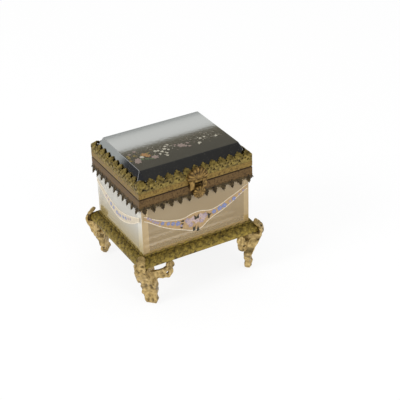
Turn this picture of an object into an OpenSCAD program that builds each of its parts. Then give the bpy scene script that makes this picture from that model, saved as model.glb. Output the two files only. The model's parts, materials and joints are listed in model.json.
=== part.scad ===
// Small casket with a gilt brass frame, bevelled glass sides and a thick dark glass lid.
// The origin is on the ground under the middle of the box. X runs along the front,
// Y runs from the front to the back and Z is up. All sizes are in millimetres.

/* [Lid rail] */
// Outer width of the lid rail and of the rim under it
rail_w = 90; // [80:1:110]
// Outer depth of the lid rail and of the rim under it
rail_d = 75; // [66:1:90]
// Height of the lid rail
rail_h = 4; // [3:0.5:7]
// Thickness of the lid rail's wall
rail_wall = 1.2; // [0.8:0.1:1.6]
// Height of the parting line between the lid and the body
parting_z = 85.5; // [75:0.5:110]
// Thickness of the ledge that the lid glass lies on
ledge_t = 1; // [0.6:0.1:1.5]
// Reach of the ledge under the lid glass
ledge_reach = 3; // [2:0.5:5]

/* [Lid glass] */
// Height of the lid glass's flat top above the parting line
lid_top_h = 16.7; // [14:0.1:24]
// Width of the bevel along the short edges of the lid glass
lid_bevel_x = 3.9; // [2.5:0.1:6]
// Width of the bevel along the long edges of the lid glass
lid_bevel_y = 6.4; // [4:0.1:9]
// Slope of the short edges' bevel, in degrees from level
lid_slope_x = 63; // [45:1:70]
// Slope of the long edges' bevel, in degrees from level
lid_slope_y = 46; // [30:1:60]
// Size of the canted corners of the lid glass
lid_cant = 6; // [3:0.5:9]
// Width of the bevel along the canted corners of the lid glass
cant_bevel = 3.4; // [2:0.1:5]
// Slope of the canted corners' bevel, in degrees from level
cant_slope = 58; // [45:1:70]

/* [Gallery] */
// Thickness of the pierced gallery
gallery_t = 0.6; // [0.4:0.1:1]
// Length of the gallery's leaf tips, which lie in over the glass
leaf_l = 4.5; // [3:0.1:6]
// Lean of the leaf tips from upright, in degrees
leaf_lean = 46; // [20:1:60]
// Number of leaves along the front and the rear gallery
leaves_x = 13; // [8:1:20]
// Number of leaves along each side gallery
leaves_y = 11; // [6:1:16]

/* [Rim] */
// Height of the rim and of the apron's band
rim_h = 9; // [6:0.5:14]
// Thickness of the rim's walls
rim_wall = 0.55; // [0.4:0.05:1]
// Thickness of the rim's top, which caps the glass
rim_top = 1; // [0.6:0.1:1.5]
// Depth of the rim's inner lip behind the glass
rim_lip = 4; // [2:0.5:8]
// Thickness of the toothed apron
apron_t = 0.6; // [0.4:0.1:1]
// Height of the upright part of the apron
apron_band = 7; // [5:0.5:10]
// Length of the flared part of the apron, with its teeth
tooth_l = 5.7; // [4:0.1:8]
// Flare of the teeth from upright, in degrees
tooth_flare = 20; // [0:1:30]
// Number of teeth along the front and the rear apron
teeth_x = 13; // [8:1:20]
// Number of teeth along each side apron
teeth_y = 11; // [6:1:16]

/* [Glass panels] */
// Thickness of the glass inside its bevels
glass_t = 4; // [3:0.1:6]
// Width of the bevel round each panel
bevel_w = 4.5; // [2:0.1:8]
// Depth of the bevel at the panel's edge
bevel_deep = 0.8; // [0.3:0.1:1.5]

/* [Base] */
// Reach of the moulding's lower edge past the base plate
base_reach = 5.75; // [5:0.25:8]
// Height of the moulding's lower edge above the ground
base_z = 31.6; // [20:0.1:45]
// Height of the moulding
moulding_h = 6.8; // [5:0.1:10]
// Thickness of the moulding's stamped wall
moulding_t = 1; // [0.6:0.1:1.5]
// Height of the moulding's plain lower edge
moulding_edge = 1.4; // [0.5:0.1:3]
// Thickness of the moulding's foot against the base plate
moulding_web = 0.6; // [0.4:0.1:1]
// Height of the leaf crest above the moulding
crest_h = 2; // [1:0.1:2.6]
// Number of crest leaves along the front and the rear
crest_x = 14; // [8:1:20]
// Number of crest leaves along each side
crest_y = 12; // [6:1:18]
// Thickness of the base plate
plate_t = 2; // [1.5:0.1:3]

/* [Feet] */
// Thickness of a foot's toe from front to back
toe_t = 3; // [2:0.1:5]
// Width of a foot's toe
toe_w = 8.6; // [6:0.1:11]
// Length of the front left foot's wing along the front
wing_front_left = 27; // [16:0.5:30]
// Length of the front right foot's wing along the front
wing_front_right = 19; // [16:0.5:30]
// Length of the rear feet's wings along the rear
wing_rear = 22; // [16:0.5:30]
// Length of the scroll wing along the side
wing_y = 12; // [8:0.5:14]
// Thickness of the scroll wings
wing_t = 2.2; // [1.5:0.1:3]
// Lean of the front right toe towards the front, from where the front left toe stands
lean_front_right = -4.4; // [-5:0.1:3]
// Lean of the rear left toe towards the rear, from where the front left toe stands
lean_rear_left = 2.4; // [-5:0.1:3]
// Radius of the screws that hold the feet
screw_r = 1; // [0.8:0.1:1.3]
// Distance of the screws in from the base plate's edges
screw_edge = 5.75; // [5:0.25:9]
// Radius of the screw heads
screw_head_r = 1.9; // [1.7:0.1:2.4]
// Distance across the flats of the nuts
nut_flats = 3.6; // [3:0.1:4.5]
// Thickness of the nuts
nut_t = 1.4; // [1:0.1:2]

/* [Hinge] */
// Length of the hinge
hinge_l = 46; // [30:1:60]
// Radius of the hinge's knuckles
knuckle_r = 1.5; // [1.3:0.1:2]
// Radius of the hinge pin
hinge_pin_r = 0.7; // [0.5:0.05:0.9]
// Thickness of the hinge leaves
leaf_t = 0.8; // [0.6:0.1:1]
// Height of the body's hinge leaf
body_leaf_h = 6; // [5:0.5:8]
// Radius of the hinge rivets
rivet_r = 0.5; // [0.4:0.05:0.7]
// Radius of the rivet heads
rivet_head_r = 0.9; // [0.8:0.05:1.2]

/* [Clasp] */
// Radius of the fluted shell on the lid
boss_r = 8.4; // [6:0.1:10]
// Thickness of the fluted shell
boss_t = 1.9; // [1.2:0.1:2.5]
// Height of the hasp's pin above the parting line
hasp_pin_h = 2.6; // [2:0.1:3.4]
// Radius of the hasp's knuckles
hasp_knuckle_r = 1.1; // [0.9:0.05:1.3]
// Radius of the hasp's pin
hasp_pin_r = 0.5; // [0.4:0.05:0.7]
// Width of each strap of the hasp
strap_w = 3.2; // [2:0.1:4]
// Thickness of the hasp's straps
strap_t = 0.9; // [0.6:0.1:1]
// Distance between the hasp's straps
strap_gap = 6.6; // [5:0.1:8]
// Radius of the hasp's shell pull
pull_r = 4.7; // [3.5:0.1:6]
// Distance of the pull's middle below the parting line
pull_drop = 5.9; // [5:0.1:9]
// Radius of the catch stud
stud_r = 1; // [0.7:0.1:1.2]
// Thickness of the plate that carries the catch stud
catch_plate_t = 0.6; // [0.4:0.1:0.8]

/* [Lining] */
// Thickness of the pad's board
board_t = 1.5; // [1:0.1:3]
// Height of the silk pad at its crown
pad_h = 6.5; // [4:0.5:10]
// Number of tufts along the pad
tufts_x = 4; // [2:1:6]
// Number of tufts across the pad
tufts_y = 3; // [2:1:5]

/* [Hidden] */

// Clearances
slip = 0.05;        // between a pin and the bore that turns on it
side_gap = 0.3;     // between pieces that pass each other
fit_gap = 0.05;     // between the glass and the rim round it
past = 1;           // how far a cutting shape runs past the face that it cuts
seam = 0.1;         // between the hinge and the faces it closes on
leaf_gap = 0.05;    // between the gallery's leaves and the lid glass's bevels
plate_lip = 0.25;   // how far the base plate reaches past the glass's corner edges

smooth = 48;
arc_steps = 8;

// Levels
base_top_z = base_z + moulding_h;
plate_top_z = base_top_z - 1.1;
plate_z = plate_top_z - plate_t;
glass_top_z = parting_z - rim_top;
rail_top_z = parting_z + rail_h;
lid_top_z = parting_z + lid_top_h;

// Half sizes of the main outlines
rail_hw = rail_w / 2;
rail_hd = rail_d / 2;
rim_hw = rail_hw - apron_t;
rim_hd = rail_hd - apron_t;
face_hw = rim_hw - rim_wall - fit_gap;
face_hd = rim_hd - rim_wall - fit_gap;
glass_hw = face_hw - bevel_deep;
glass_hd = face_hd - bevel_deep;
plate_hw = glass_hw + plate_lip;
plate_hd = glass_hd + plate_lip;
base_hw = plate_hw + base_reach;
base_hd = plate_hd + base_reach;
room_hw = face_hw - glass_t;
room_hd = face_hd - glass_t;

// Lid glass
slab_inset = 2.1;
slab_hw = rail_hw - slab_inset;
slab_hd = rail_hd - slab_inset;

// Gallery, which bends in over the bevels of the lid glass
bend_in = slab_inset - gallery_t * cos(leaf_lean);
bend_drop = gallery_t * sin(leaf_lean);
tip_in = leaf_l * sin(leaf_lean) - bend_in;
gallery_top_z = leaf_gap + max(lowest_bend(lid_bevel_x, lid_slope_x),
    lowest_bend(lid_bevel_y, lid_slope_y));
gallery_h = gallery_top_z - rail_top_z;

// Hinge axis
hinge_y = rail_hd + knuckle_r + seam;
hinge_z = parting_z;
knuckles = 5;
knuckle_l = (hinge_l - (knuckles - 1) * side_gap) / knuckles;
knuckle_step = knuckle_l + side_gap;
rivet_x = hinge_l / 2 - knuckle_l / 2;
body_rivet_z = parting_z - 4;
lid_rivet_z = parting_z + 2.6;

// Clasp places
clasp_y = -rail_hd;
hasp_axis_y = clasp_y - hasp_knuckle_r - 0.2;
hasp_axis_z = parting_z + hasp_pin_h;
hasp_l = strap_gap + 2 * strap_w;
pull_back_y = hasp_axis_y - hasp_knuckle_r;
pull_z = parting_z - pull_drop;
strap_low_z = pull_z + 0.55 * pull_r;
catch_y = clasp_y - catch_plate_t;
boss_z = hasp_axis_z + hasp_knuckle_r + side_gap;

// Feet places
flange_t = 1.6;
flange_z = plate_z - flange_t;
blade_top_z = flange_z + flange_t / 2;
screw_inset = base_reach + screw_edge;
screw_hw = base_hw - screw_inset;
screw_hd = base_hd - screw_inset;

// Pad
board_gap = 0.4;
board_top_z = plate_top_z + board_t;
pad_gap = 0.3;

// Lowest height of the gallery's bend at which its leaves touch the bevel under them
function lowest_bend(bevel, slope) =
    let (edge_z = lid_top_z - bevel * tan(slope))
    bend_drop + max(edge_z - bend_in / tan(leaf_lean),
        edge_z + min(tip_in, bevel) * tan(slope) - leaf_l * cos(leaf_lean));

// Points of a quarter ellipse that starts level with its top and ends at its side
function quarter(cx, cz, rx, rz, n) =
    [for (i = [0:n]) [cx + rx * sin(90 * i / n), cz + rz * cos(90 * i / n)]];

function reversed(list) = [for (i = [len(list) - 1:-1:0]) list[i]];

// Half of a leaf's outline, from its foot to its tip
function leaf_side(w, h, n) =
    [for (i = [0:n]) [w / 2 * (1 - pow(i / n, 2)) * (1 + 0.25 * sin(360 * i / n)), h * i / n]];

// A pointed leaf that stands on the X axis
module leaf(w, h) {
    side = leaf_side(w, h, 5);
    polygon(concat(side, [for (p = reversed(side)) if (p[0] > 0) [-p[0], p[1]]]));
}

// A row of leaves, centred on X
module leaf_row(count, length, h, fill = 1) {
    step = length / count;
    for (i = [0:count - 1]) translate([(i - (count - 1) / 2) * step, 0]) leaf(step * fill, h);
}

// A box from its lowest to its highest corner
module block(low, high) {
    translate(low) cube(high - low);
}

// A rod along X
module rod_x(r, length) {
    rotate([0, 90, 0]) cylinder(h = length, r = r, center = true, $fn = smooth);
}

// A rod along Y, from one Y to another
module rod_y(r, from, to) {
    translate([0, to, 0]) rotate([90, 0, 0]) cylinder(h = to - from, r = r, $fn = smooth);
}

// Wedge over one long side of the box, cut at 45 degrees at both corners
module mitre(hw, hd, out, inward, z0, z1) {
    translate([0, 0, z0]) linear_extrude(z1 - z0) polygon([
        [-hw - out, -hd - out], [hw + out, -hd - out],
        [hw - inward, -hd + inward], [-hw + inward, -hd + inward]]);
}

// Turns a piece that was made for the front round to another side
module to_side(side) {
    angle = side == "front" ? 0 : side == "right" ? 90 : side == "rear" ? 180 : 270;
    rotate([0, 0, angle]) children();
}

// Base plate

module base_plate() {
    color("goldenrod") difference() {
        block([-plate_hw, -plate_hd, plate_z], [plate_hw, plate_hd, plate_top_z]);
        for (sx = [-1, 1], sy = [-1, 1]) translate([sx * screw_hw, sy * screw_hd, 0]) {
            translate([0, 0, plate_z - past])
                cylinder(h = plate_t + 2 * past, r = screw_r, $fn = smooth);
            translate([0, 0, plate_top_z - (screw_head_r - screw_r)])
                cylinder(h = screw_head_r - screw_r, r1 = screw_r, r2 = screw_head_r, $fn = smooth);
        }
    }
}

// Base moulding

function moulding_profile(out) =
    let (rx = out - moulding_web, low = base_z + moulding_edge, rz = base_top_z - low)
    concat(
        [[0, plate_z], [0, base_top_z]],
        quarter(moulding_web, low, rx, rz, arc_steps),
        [[out, base_z], [out - moulding_t, base_z]],
        reversed(quarter(moulding_web, low, rx - moulding_t, rz - moulding_t, arc_steps)),
        [[moulding_web, plate_z]]);

module moulding_bar(hw, hd, outer_hw, outer_hd, leaves) {
    out = outer_hd - hd;
    intersection() {
        union() {
            translate([outer_hw + past, -hd, 0]) rotate([0, 0, -90]) rotate([90, 0, 0])
                linear_extrude(2 * (outer_hw + past)) polygon(moulding_profile(out));
            translate([0, -hd - moulding_web, base_top_z - moulding_t]) rotate([90, 0, 0])
                linear_extrude(moulding_web) {
                    translate([0, moulding_t]) leaf_row(leaves, 2 * hw, crest_h);
                    translate([-hw, 0]) square([2 * hw, moulding_t + 0.1]);
                }
        }
        mitre(hw, hd, out + past, past, base_z - past, base_top_z + crest_h + past);
    }
}

module base_moulding_front() {
    color("darkgoldenrod") moulding_bar(plate_hw, plate_hd, base_hw, base_hd, crest_x);
}

module base_moulding_rear() {
    color("darkgoldenrod") to_side("rear")
        moulding_bar(plate_hw, plate_hd, base_hw, base_hd, crest_x);
}

module base_moulding_left() {
    color("darkgoldenrod") to_side("left")
        moulding_bar(plate_hd, plate_hw, base_hd, base_hw, crest_y);
}

module base_moulding_right() {
    color("darkgoldenrod") to_side("right")
        moulding_bar(plate_hd, plate_hw, base_hd, base_hw, crest_y);
}

// Feet

foot_deep = 60;

// Side view of a foot along its diagonal. The first value is the distance out from the
// moulding's corner and the second is the height.
foot_outer = [[0.2, base_z - 0.1], [1.7, base_z - 0.6], [1.9, base_z - 2.2],
    [0.4, 0.848 * base_z], [-1.3, 0.741 * base_z], [-2.5, 0.639 * base_z],
    [-4.4, 0.462 * base_z], [-6.3, 0.316 * base_z], [-6.9, 0.215 * base_z],
    [-6.3, 0.133 * base_z], [-6.1, 0.070 * base_z], [-6.9, 0.016 * base_z], [-7.6, 0]];
foot_inner_x = -7.6 - toe_t;
foot_inner = [[foot_inner_x + 0.9, 0], [foot_inner_x, 0.038 * base_z],
    [foot_inner_x + 0.2, 0.127 * base_z], [foot_inner_x + 0.4, 0.253 * base_z],
    [foot_inner_x - 0.3, 0.380 * base_z], [foot_inner_x, 0.538 * base_z],
    [foot_inner_x - 1, 0.696 * base_z], [foot_inner_x - 3.5, 0.842 * base_z],
    [foot_inner_x - 6, 0.937 * base_z], [foot_inner_x - 6.4, blade_top_z],
    [-9.4, blade_top_z], [-9.4, base_z - 0.1]];

// Front view of a foot. The blade leans from the corner towards the front or the rear.
foot_left = [[0.5, 0], [-0.7, 0.076 * base_z], [-1, 0.146 * base_z], [-2.4, 0.266 * base_z],
    [-2.2, 0.380 * base_z], [-2.7, 0.506 * base_z], [-2, 0.601 * base_z], [-4, 0.715 * base_z],
    [-2.8, 0.823 * base_z], [-3.4, 0.930 * base_z], [-3.4, blade_top_z]];
foot_right = [[toe_w - 1, 0], [toe_w + 0.5, 0.063 * base_z], [toe_w + 0.8, 0.127 * base_z],
    [toe_w - 0.2, 0.203 * base_z], [toe_w, 0.297 * base_z], [toe_w + 0.8, 0.399 * base_z],
    [toe_w + 1.2, 0.506 * base_z], [toe_w - 0.4, 0.614 * base_z], [toe_w - 2, 0.728 * base_z],
    [5, 0.854 * base_z], [4.2, base_z], [4.2, blade_top_z]];

// The leaf that laps up over the moulding's corner, seen from the side
lap_leaf = [[0.4, base_z - 1.6], [1.9, base_z - 1.8], [2.3, base_z + 1], [1.5, base_z + 4],
    [-0.9, base_z + 6.9], [-2.3, base_z + 8.2], [-2.9, base_z + 9.4], [-3.9, base_z + 9.4],
    [-4.2, base_z + 8.2], [-3.2, base_z + 7.2], [-2, base_z + 6.4], [-0.2, base_z + 4],
    [0.4, base_z + 1.6]];

// Scroll wing that runs along X under the moulding's lower edge and ends in a curl
module foot_wing(length) {
    lobe_r = 4.6;
    curl_r = 3.2;
    lobe_x = length - lobe_r - 0.9;
    translate([0, wing_t + 0.2, 0]) rotate([90, 0, 0]) linear_extrude(wing_t) difference() {
        union() {
            translate([length - curl_r, base_z - curl_r]) circle(r = curl_r, $fn = 24);
            translate([lobe_x, base_z - 9]) circle(r = lobe_r, $fn = 28);
            polygon([[lobe_x, base_z - 13.2], [2, base_z - 9.5], [2, base_z - 3.4],
                [lobe_x, base_z - 5.4]]);
        }
        translate([lobe_x, base_z - 8.6]) circle(r = 1.1, $fn = 24);
    }
}

// Outline whose lower points are moved sideways, the more the lower they are
function leaned(outline, lean) =
    [for (p = outline) [p[0] + lean * pow(1 - min(p[1], base_z) / base_z, 2), p[1]]];

// One foot, for the front left corner. Its own corner is at the moulding's corner.
module foot(wing, lean) {
    flange_w = 9;
    difference() {
        union() {
            intersection() {
                rotate([0, 0, 225]) rotate([90, 0, 0]) linear_extrude(foot_deep, center = true)
                    polygon(concat(foot_outer, foot_inner));
                rotate([0, 0, 225]) rotate([90, 0, 90]) linear_extrude(foot_deep, center = true)
                    polygon(leaned(concat(foot_left, reversed(foot_right)), lean));
            }
            intersection() {
                rotate([0, 0, 225]) rotate([90, 0, 0]) linear_extrude(8, center = true)
                    polygon(lap_leaf);
                rotate([0, 0, 225]) rotate([90, 0, 90]) linear_extrude(foot_deep, center = true)
                    polygon([[-3.9, base_z - 2], [3.9, base_z - 2], [3.6, base_z + 4],
                        [2.4, base_z + 7.6], [1.1, base_z + 9.4], [-1.1, base_z + 9.4],
                        [-2.4, base_z + 7.6], [-3.6, base_z + 4]]);
            }
            foot_wing(wing);
            mirror([1, -1, 0]) foot_wing(wing_y);
            translate([screw_inset - flange_w / 2, screw_inset - flange_w / 2, flange_z])
                cube([flange_w, flange_w, flange_t]);
        }
        translate([screw_inset, screw_inset, flange_z - past])
            cylinder(h = flange_t + 2 * past, r = screw_r + slip, $fn = smooth);
        translate([screw_inset, screw_inset, base_z - 6])
            cylinder(h = flange_z - base_z + 6, r = screw_head_r + 1, $fn = smooth);
    }
}

module placed_foot(sx, sy, wing, lean = 0) {
    color("peru") scale([-sx, -sy, 1]) translate([-base_hw, -base_hd, 0]) foot(wing, lean);
}

module foot_front_left() { placed_foot(-1, -1, wing_front_left); }

module foot_front_right() { placed_foot(1, -1, wing_front_right, lean_front_right); }

module foot_rear_left() { placed_foot(-1, 1, wing_rear, lean_rear_left); }

module foot_rear_right() { placed_foot(1, 1, wing_rear); }

// Screws and nuts of the feet

module foot_screws() {
    color("khaki") for (sx = [-1, 1], sy = [-1, 1])
        translate([sx * screw_hw, sy * screw_hd, 0]) {
            translate([0, 0, flange_z - nut_t - 0.5])
                cylinder(h = plate_top_z - flange_z + nut_t + 0.5, r = screw_r, $fn = smooth);
            translate([0, 0, plate_top_z - (screw_head_r - screw_r)])
                cylinder(h = screw_head_r - screw_r, r1 = screw_r, r2 = screw_head_r, $fn = smooth);
        }
}

module foot_nuts() {
    color("khaki") for (sx = [-1, 1], sy = [-1, 1])
        translate([sx * screw_hw, sy * screw_hd, flange_z - nut_t]) difference() {
            cylinder(h = nut_t, r = nut_flats / 2 / cos(30), $fn = 6);
            translate([0, 0, -past]) cylinder(h = nut_t + 2 * past, r = screw_r, $fn = smooth);
        }
}

// Glass panels

// A panel for the front. Its ends are mitred and its outer face is bevelled all round.
module panel(hw, hd) {
    in_y = hd - glass_t + bevel_deep;
    edge = glass_t - bevel_deep;
    intersection() {
        translate([0, 0, plate_top_z]) linear_extrude(glass_top_z - plate_top_z) polygon([
            [-hw + edge, -in_y], [-hw, -hd], [-hw + bevel_w, -hd - bevel_deep],
            [hw - bevel_w, -hd - bevel_deep], [hw, -hd], [hw - edge, -in_y]]);
        translate([-hw - past, 0, 0]) rotate([90, 0, 90]) linear_extrude(2 * (hw + past)) polygon([
            [-in_y, plate_top_z], [-hd, plate_top_z], [-hd - bevel_deep, plate_top_z + bevel_w],
            [-hd - bevel_deep, glass_top_z - bevel_w], [-hd, glass_top_z], [-in_y, glass_top_z]]);
    }
}

module glass_front() { color("tan", 0.5) panel(glass_hw, glass_hd); }

module glass_rear() { color("tan", 0.5) to_side("rear") panel(glass_hw, glass_hd); }

module glass_left() { color("tan", 0.5) to_side("left") panel(glass_hd, glass_hw); }

module glass_right() { color("tan", 0.5) to_side("right") panel(glass_hd, glass_hw); }

// Rim of the body

lip_hw = room_hw - fit_gap;
lip_hd = room_hd - fit_gap;

module body_rim() {
    color("goldenrod") difference() {
        block([-rim_hw, -rim_hd, parting_z - rim_h], [rim_hw, rim_hd, parting_z]);
        block([-lip_hw + rim_wall, -lip_hd + rim_wall, parting_z - rim_h - past],
            [lip_hw - rim_wall, lip_hd - rim_wall, parting_z + past]);
        difference() {
            block([-rim_hw + rim_wall, -rim_hd + rim_wall, parting_z - rim_h - past],
                [rim_hw - rim_wall, rim_hd - rim_wall, glass_top_z]);
            block([-lip_hw, -lip_hd, glass_top_z - rim_lip], [lip_hw, lip_hd, glass_top_z + past]);
        }
        for (x = [-rivet_x, 0, rivet_x]) translate([x, 0, body_rivet_z])
            rod_y(rivet_r, rim_hd - rim_wall - past, rim_hd + past);
    }
}

// Toothed apron for the front
module apron(hw, hd, teeth) {
    low = parting_z - apron_band;
    step = 2 * hw / teeth;
    intersection() {
        union() {
            translate([-hw - 4, -hd, low]) cube([2 * hw + 8, apron_t, apron_band - seam]);
            translate([0, -hd, low]) rotate([-tooth_flare, 0, 0])
                translate([0, apron_t, 0]) rotate([90, 0, 0]) linear_extrude(apron_t) {
                    translate([-hw - 4, -tooth_l * 0.4])
                        square([2 * hw + 8, tooth_l * 0.4 + 0.1]);
                    mirror([0, 1, 0]) translate([0, tooth_l * 0.3]) {
                        leaf_row(teeth + 2, 2 * hw + 2 * step, tooth_l * 0.7, 0.55);
                        leaf_row(teeth + 1, 2 * hw + step, tooth_l * 0.32, 0.45);
                    }
                }
        }
        mitre(hw, hd, 6, 3, low - tooth_l - past, parting_z);
    }
}

module apron_front() { color("saddlebrown") apron(rail_hw, rail_hd, teeth_x); }

module apron_rear() {
    color("saddlebrown") to_side("rear")
        difference() {
            apron(rail_hw, rail_hd, teeth_x);
            block([-hinge_l / 2 - side_gap, -rail_hd - 3, parting_z - body_leaf_h - side_gap],
                [hinge_l / 2 + side_gap, -rail_hd + 3, parting_z + past]);
        }
}

module apron_left() { color("saddlebrown") to_side("left") apron(rail_hd, rail_hw, teeth_y); }

module apron_right() { color("saddlebrown") to_side("right") apron(rail_hd, rail_hw, teeth_y); }

// Catch on the apron's front

module catch_plate() {
    half = stud_r + 2.2;
    color("gold") block([-half, catch_y, parting_z - apron_band + 0.2],
        [half, clasp_y, parting_z - 0.6]);
}

module catch_stud() {
    color("gold") translate([0, 0, pull_z]) rod_y(stud_r, pull_back_y + side_gap, catch_y);
}

// Hinge

module knuckle(index) {
    translate([(index - (knuckles - 1) / 2) * knuckle_step, hinge_y, hinge_z])
        rod_x(knuckle_r, knuckle_l);
}

module hinge_leaf_body() {
    leaf_top = parting_z - 0.9;
    color("goldenrod") difference() {
        union() {
            block([-hinge_l / 2, rim_hd, parting_z - body_leaf_h],
                [hinge_l / 2, rim_hd + leaf_t, leaf_top]);
            for (i = [0, 2, 4]) {
                knuckle(i);
                translate([(i - 2) * knuckle_step - knuckle_l / 2, rim_hd, parting_z - 1.5])
                    cube([knuckle_l, hinge_y - rim_hd, 1.5 - seam]);
            }
        }
        translate([0, hinge_y, hinge_z]) rod_x(hinge_pin_r, hinge_l + 2 * past);
        for (x = [-rivet_x, 0, rivet_x]) translate([x, 0, body_rivet_z])
            rod_y(rivet_r, rim_hd - past, rim_hd + leaf_t + past);
    }
}

module hinge_leaf_lid() {
    clear = knuckle_r + 0.2;
    color("goldenrod") difference() {
        union() {
            block([-hinge_l / 2, rail_hd, parting_z + clear],
                [hinge_l / 2, rail_hd + leaf_t, rail_top_z - 0.2]);
            for (i = [1, 3]) {
                knuckle(i);
                translate([(i - 2) * knuckle_step - knuckle_l / 2, rail_hd, parting_z + seam])
                    cube([knuckle_l, hinge_y - rail_hd, 1.2]);
                translate([(i - 2) * knuckle_step - knuckle_l / 2, rail_hd, parting_z + seam])
                    cube([knuckle_l, leaf_t, clear]);
            }
        }
        translate([0, hinge_y, hinge_z]) rod_x(hinge_pin_r + slip, hinge_l + 2 * past);
        for (x = [-rivet_x, 0, rivet_x]) translate([x, 0, lid_rivet_z])
            rod_y(rivet_r, rail_hd - past, rail_hd + leaf_t + past);
    }
}

module hinge_pin() {
    color("gold") translate([0, hinge_y, hinge_z]) {
        rod_x(hinge_pin_r, hinge_l);
        for (s = [-1, 1]) translate([s * (hinge_l / 2 + 0.3), 0, 0]) rod_x(hinge_pin_r + 0.3, 0.6);
    }
}

// Rivets through a leaf, each with a head outside
module rivet_row(z, inner_y, outer_y) {
    for (x = [-rivet_x, 0, rivet_x]) translate([x, 0, z]) {
        rod_y(rivet_r, inner_y, outer_y);
        rod_y(rivet_head_r, outer_y, outer_y + 0.4);
    }
}

module hinge_rivets_body() {
    color("gold") rivet_row(body_rivet_z, rim_hd - rim_wall, rim_hd + leaf_t);
}

module hinge_rivets_lid() {
    color("gold") rivet_row(lid_rivet_z, rail_hd - rail_wall, rail_hd + leaf_t);
}

// Lining

module pad_board() {
    hw = room_hw - board_gap;
    hd = room_hd - board_gap;
    color("bisque") block([-hw, -hd, plate_top_z], [hw, hd, board_top_z]);
}

// Height of the pad's top above its board, at a place given from -1 to 1 along each side.
// The crown falls off at the edges and dips at every tuft.
function pad_round(t) = pow(1 - pow(abs(t), 6), 0.5);
function tuft_dip(u, v) = let (
    a = (u + 1) / 2 * tufts_x - 0.5, b = (v + 1) / 2 * tufts_y - 0.5,
    da = a - round(a), db = b - round(b),
    far = sqrt(da * da + db * db)) 0.34 * exp(-far * far * 14);
function pad_top(u, v) = pad_h * (0.35 + 0.65 * pad_round(u) * pad_round(v) - tuft_dip(u, v)
    * (1 - pow(max(abs(u), abs(v)), 8)));
// The sides are drawn in between the corners
function pad_in(t) = 0.9 * (1 - t * t);

module silk_pad() {
    nx = 28;
    ny = 22;
    hw = room_hw - board_gap - pad_gap;
    hd = room_hd - board_gap - pad_gap;
    function place(i, j) = let (u = 2 * i / nx - 1, v = 2 * j / ny - 1)
        [u * (hw - pad_in(v)), v * (hd - pad_in(u)), board_top_z + pad_top(u, v)];
    function floor_of(p) = [p[0], p[1], board_top_z - past];
    row = ny + 1;
    half = (nx + 1) * row;
    tops = [for (i = [0:nx], j = [0:ny]) place(i, j)];
    lows = [for (p = tops) floor_of(p)];
    top_faces = [for (i = [0:nx - 1], j = [0:ny - 1]) let (a = i * row + j)
        each [[a, a + row + 1, a + row], [a, a + 1, a + row + 1]]];
    low_faces = [[for (i = [0:nx]) half + i * row, for (j = [1:ny]) half + nx * row + j,
        for (i = [nx - 1:-1:0]) half + i * row + ny, for (j = [ny - 1:-1:1]) half + j]];
    side_faces = concat(
        [for (i = [0:nx - 1]) let (a = i * row) each [[a, a + row, half + a],
            [a + row, half + a + row, half + a]]],
        [for (i = [0:nx - 1]) let (a = i * row + ny) each [[a, half + a, a + row],
            [a + row, half + a, half + a + row]]],
        [for (j = [0:ny - 1]) each [[j, half + j, j + 1], [j + 1, half + j, half + j + 1]]],
        [for (j = [0:ny - 1]) let (a = nx * row + j) each [[a, a + 1, half + a],
            [a + 1, half + a + 1, half + a]]]);
    // The pad is cut flat where it lies on its board
    color("wheat") difference() {
        polyhedron(points = concat(tops, lows),
            faces = concat(top_faces, low_faces, side_faces), convexity = 4);
        block([-hw - past, -hd - past, board_top_z - 2 * past],
            [hw + past, hd + past, board_top_z]);
    }
}

// Lid

// Upright slab whose section across Y is bevelled at its top, as long as it needs to be
module bevelled_bar(half, long, bevel, slope) {
    drop = bevel * tan(slope);
    translate([-long, 0, 0]) rotate([90, 0, 90]) linear_extrude(2 * long) polygon([
        [-half, rail_top_z], [-half, lid_top_z - drop], [-half + bevel, lid_top_z],
        [half - bevel, lid_top_z], [half, lid_top_z - drop], [half, rail_top_z]]);
}

module lid_glass() {
    long = slab_hw + slab_hd;
    across = (slab_hw + slab_hd - lid_cant) / sqrt(2);
    color("dimgray") intersection() {
        bevelled_bar(slab_hd, long, lid_bevel_y, lid_slope_y);
        rotate([0, 0, 90]) bevelled_bar(slab_hw, long, lid_bevel_x, lid_slope_x);
        rotate([0, 0, 45]) bevelled_bar(across, long, cant_bevel, cant_slope);
        rotate([0, 0, -45]) bevelled_bar(across, long, cant_bevel, cant_slope);
    }
}

module lid_rail() {
    in_hw = rail_hw - rail_wall;
    in_hd = rail_hd - rail_wall;
    color("goldenrod") difference() {
        block([-rail_hw, -rail_hd, parting_z], [rail_hw, rail_hd, rail_top_z]);
        block([-in_hw, -in_hd, parting_z - past], [in_hw, in_hd, rail_top_z - ledge_t]);
        block([-slab_hw + ledge_reach, -slab_hd + ledge_reach, parting_z],
            [slab_hw - ledge_reach, slab_hd - ledge_reach, rail_top_z + past]);
        for (x = [-rivet_x, 0, rivet_x]) translate([x, 0, lid_rivet_z])
            rod_y(rivet_r, rail_hd - rail_wall - past, rail_hd + past);
    }
}

// Pierced gallery for the front: an upright band, then leaf tips that lie in over the glass
module gallery(hw, hd, leaves) {
    step = 2 * hw / leaves;
    intersection() {
        union() {
            translate([0, -hd + gallery_t, rail_top_z]) rotate([90, 0, 0])
                linear_extrude(gallery_t) difference() {
                    translate([-hw, 0]) square([2 * hw, gallery_h + 0.1]);
                    for (i = [1:leaves - 1]) translate([(i - leaves / 2) * step, gallery_h / 2 - 0.35])
                        polygon([[-0.9, 0], [0, 1.7], [0.9, 0], [0.5, 0], [0, 0.8], [-0.5, 0]]);
                }
            translate([0, -hd, gallery_top_z]) rotate([-leaf_lean, 0, 0])
                translate([0, gallery_t, 0]) rotate([90, 0, 0]) linear_extrude(gallery_t) {
                    translate([-hw, -0.1]) square([2 * hw, 0.6]);
                    leaf_row(leaves, 2 * hw, leaf_l);
                }
        }
        mitre(hw, hd, past, 8, rail_top_z, gallery_top_z + leaf_l + past);
    }
}

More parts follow.
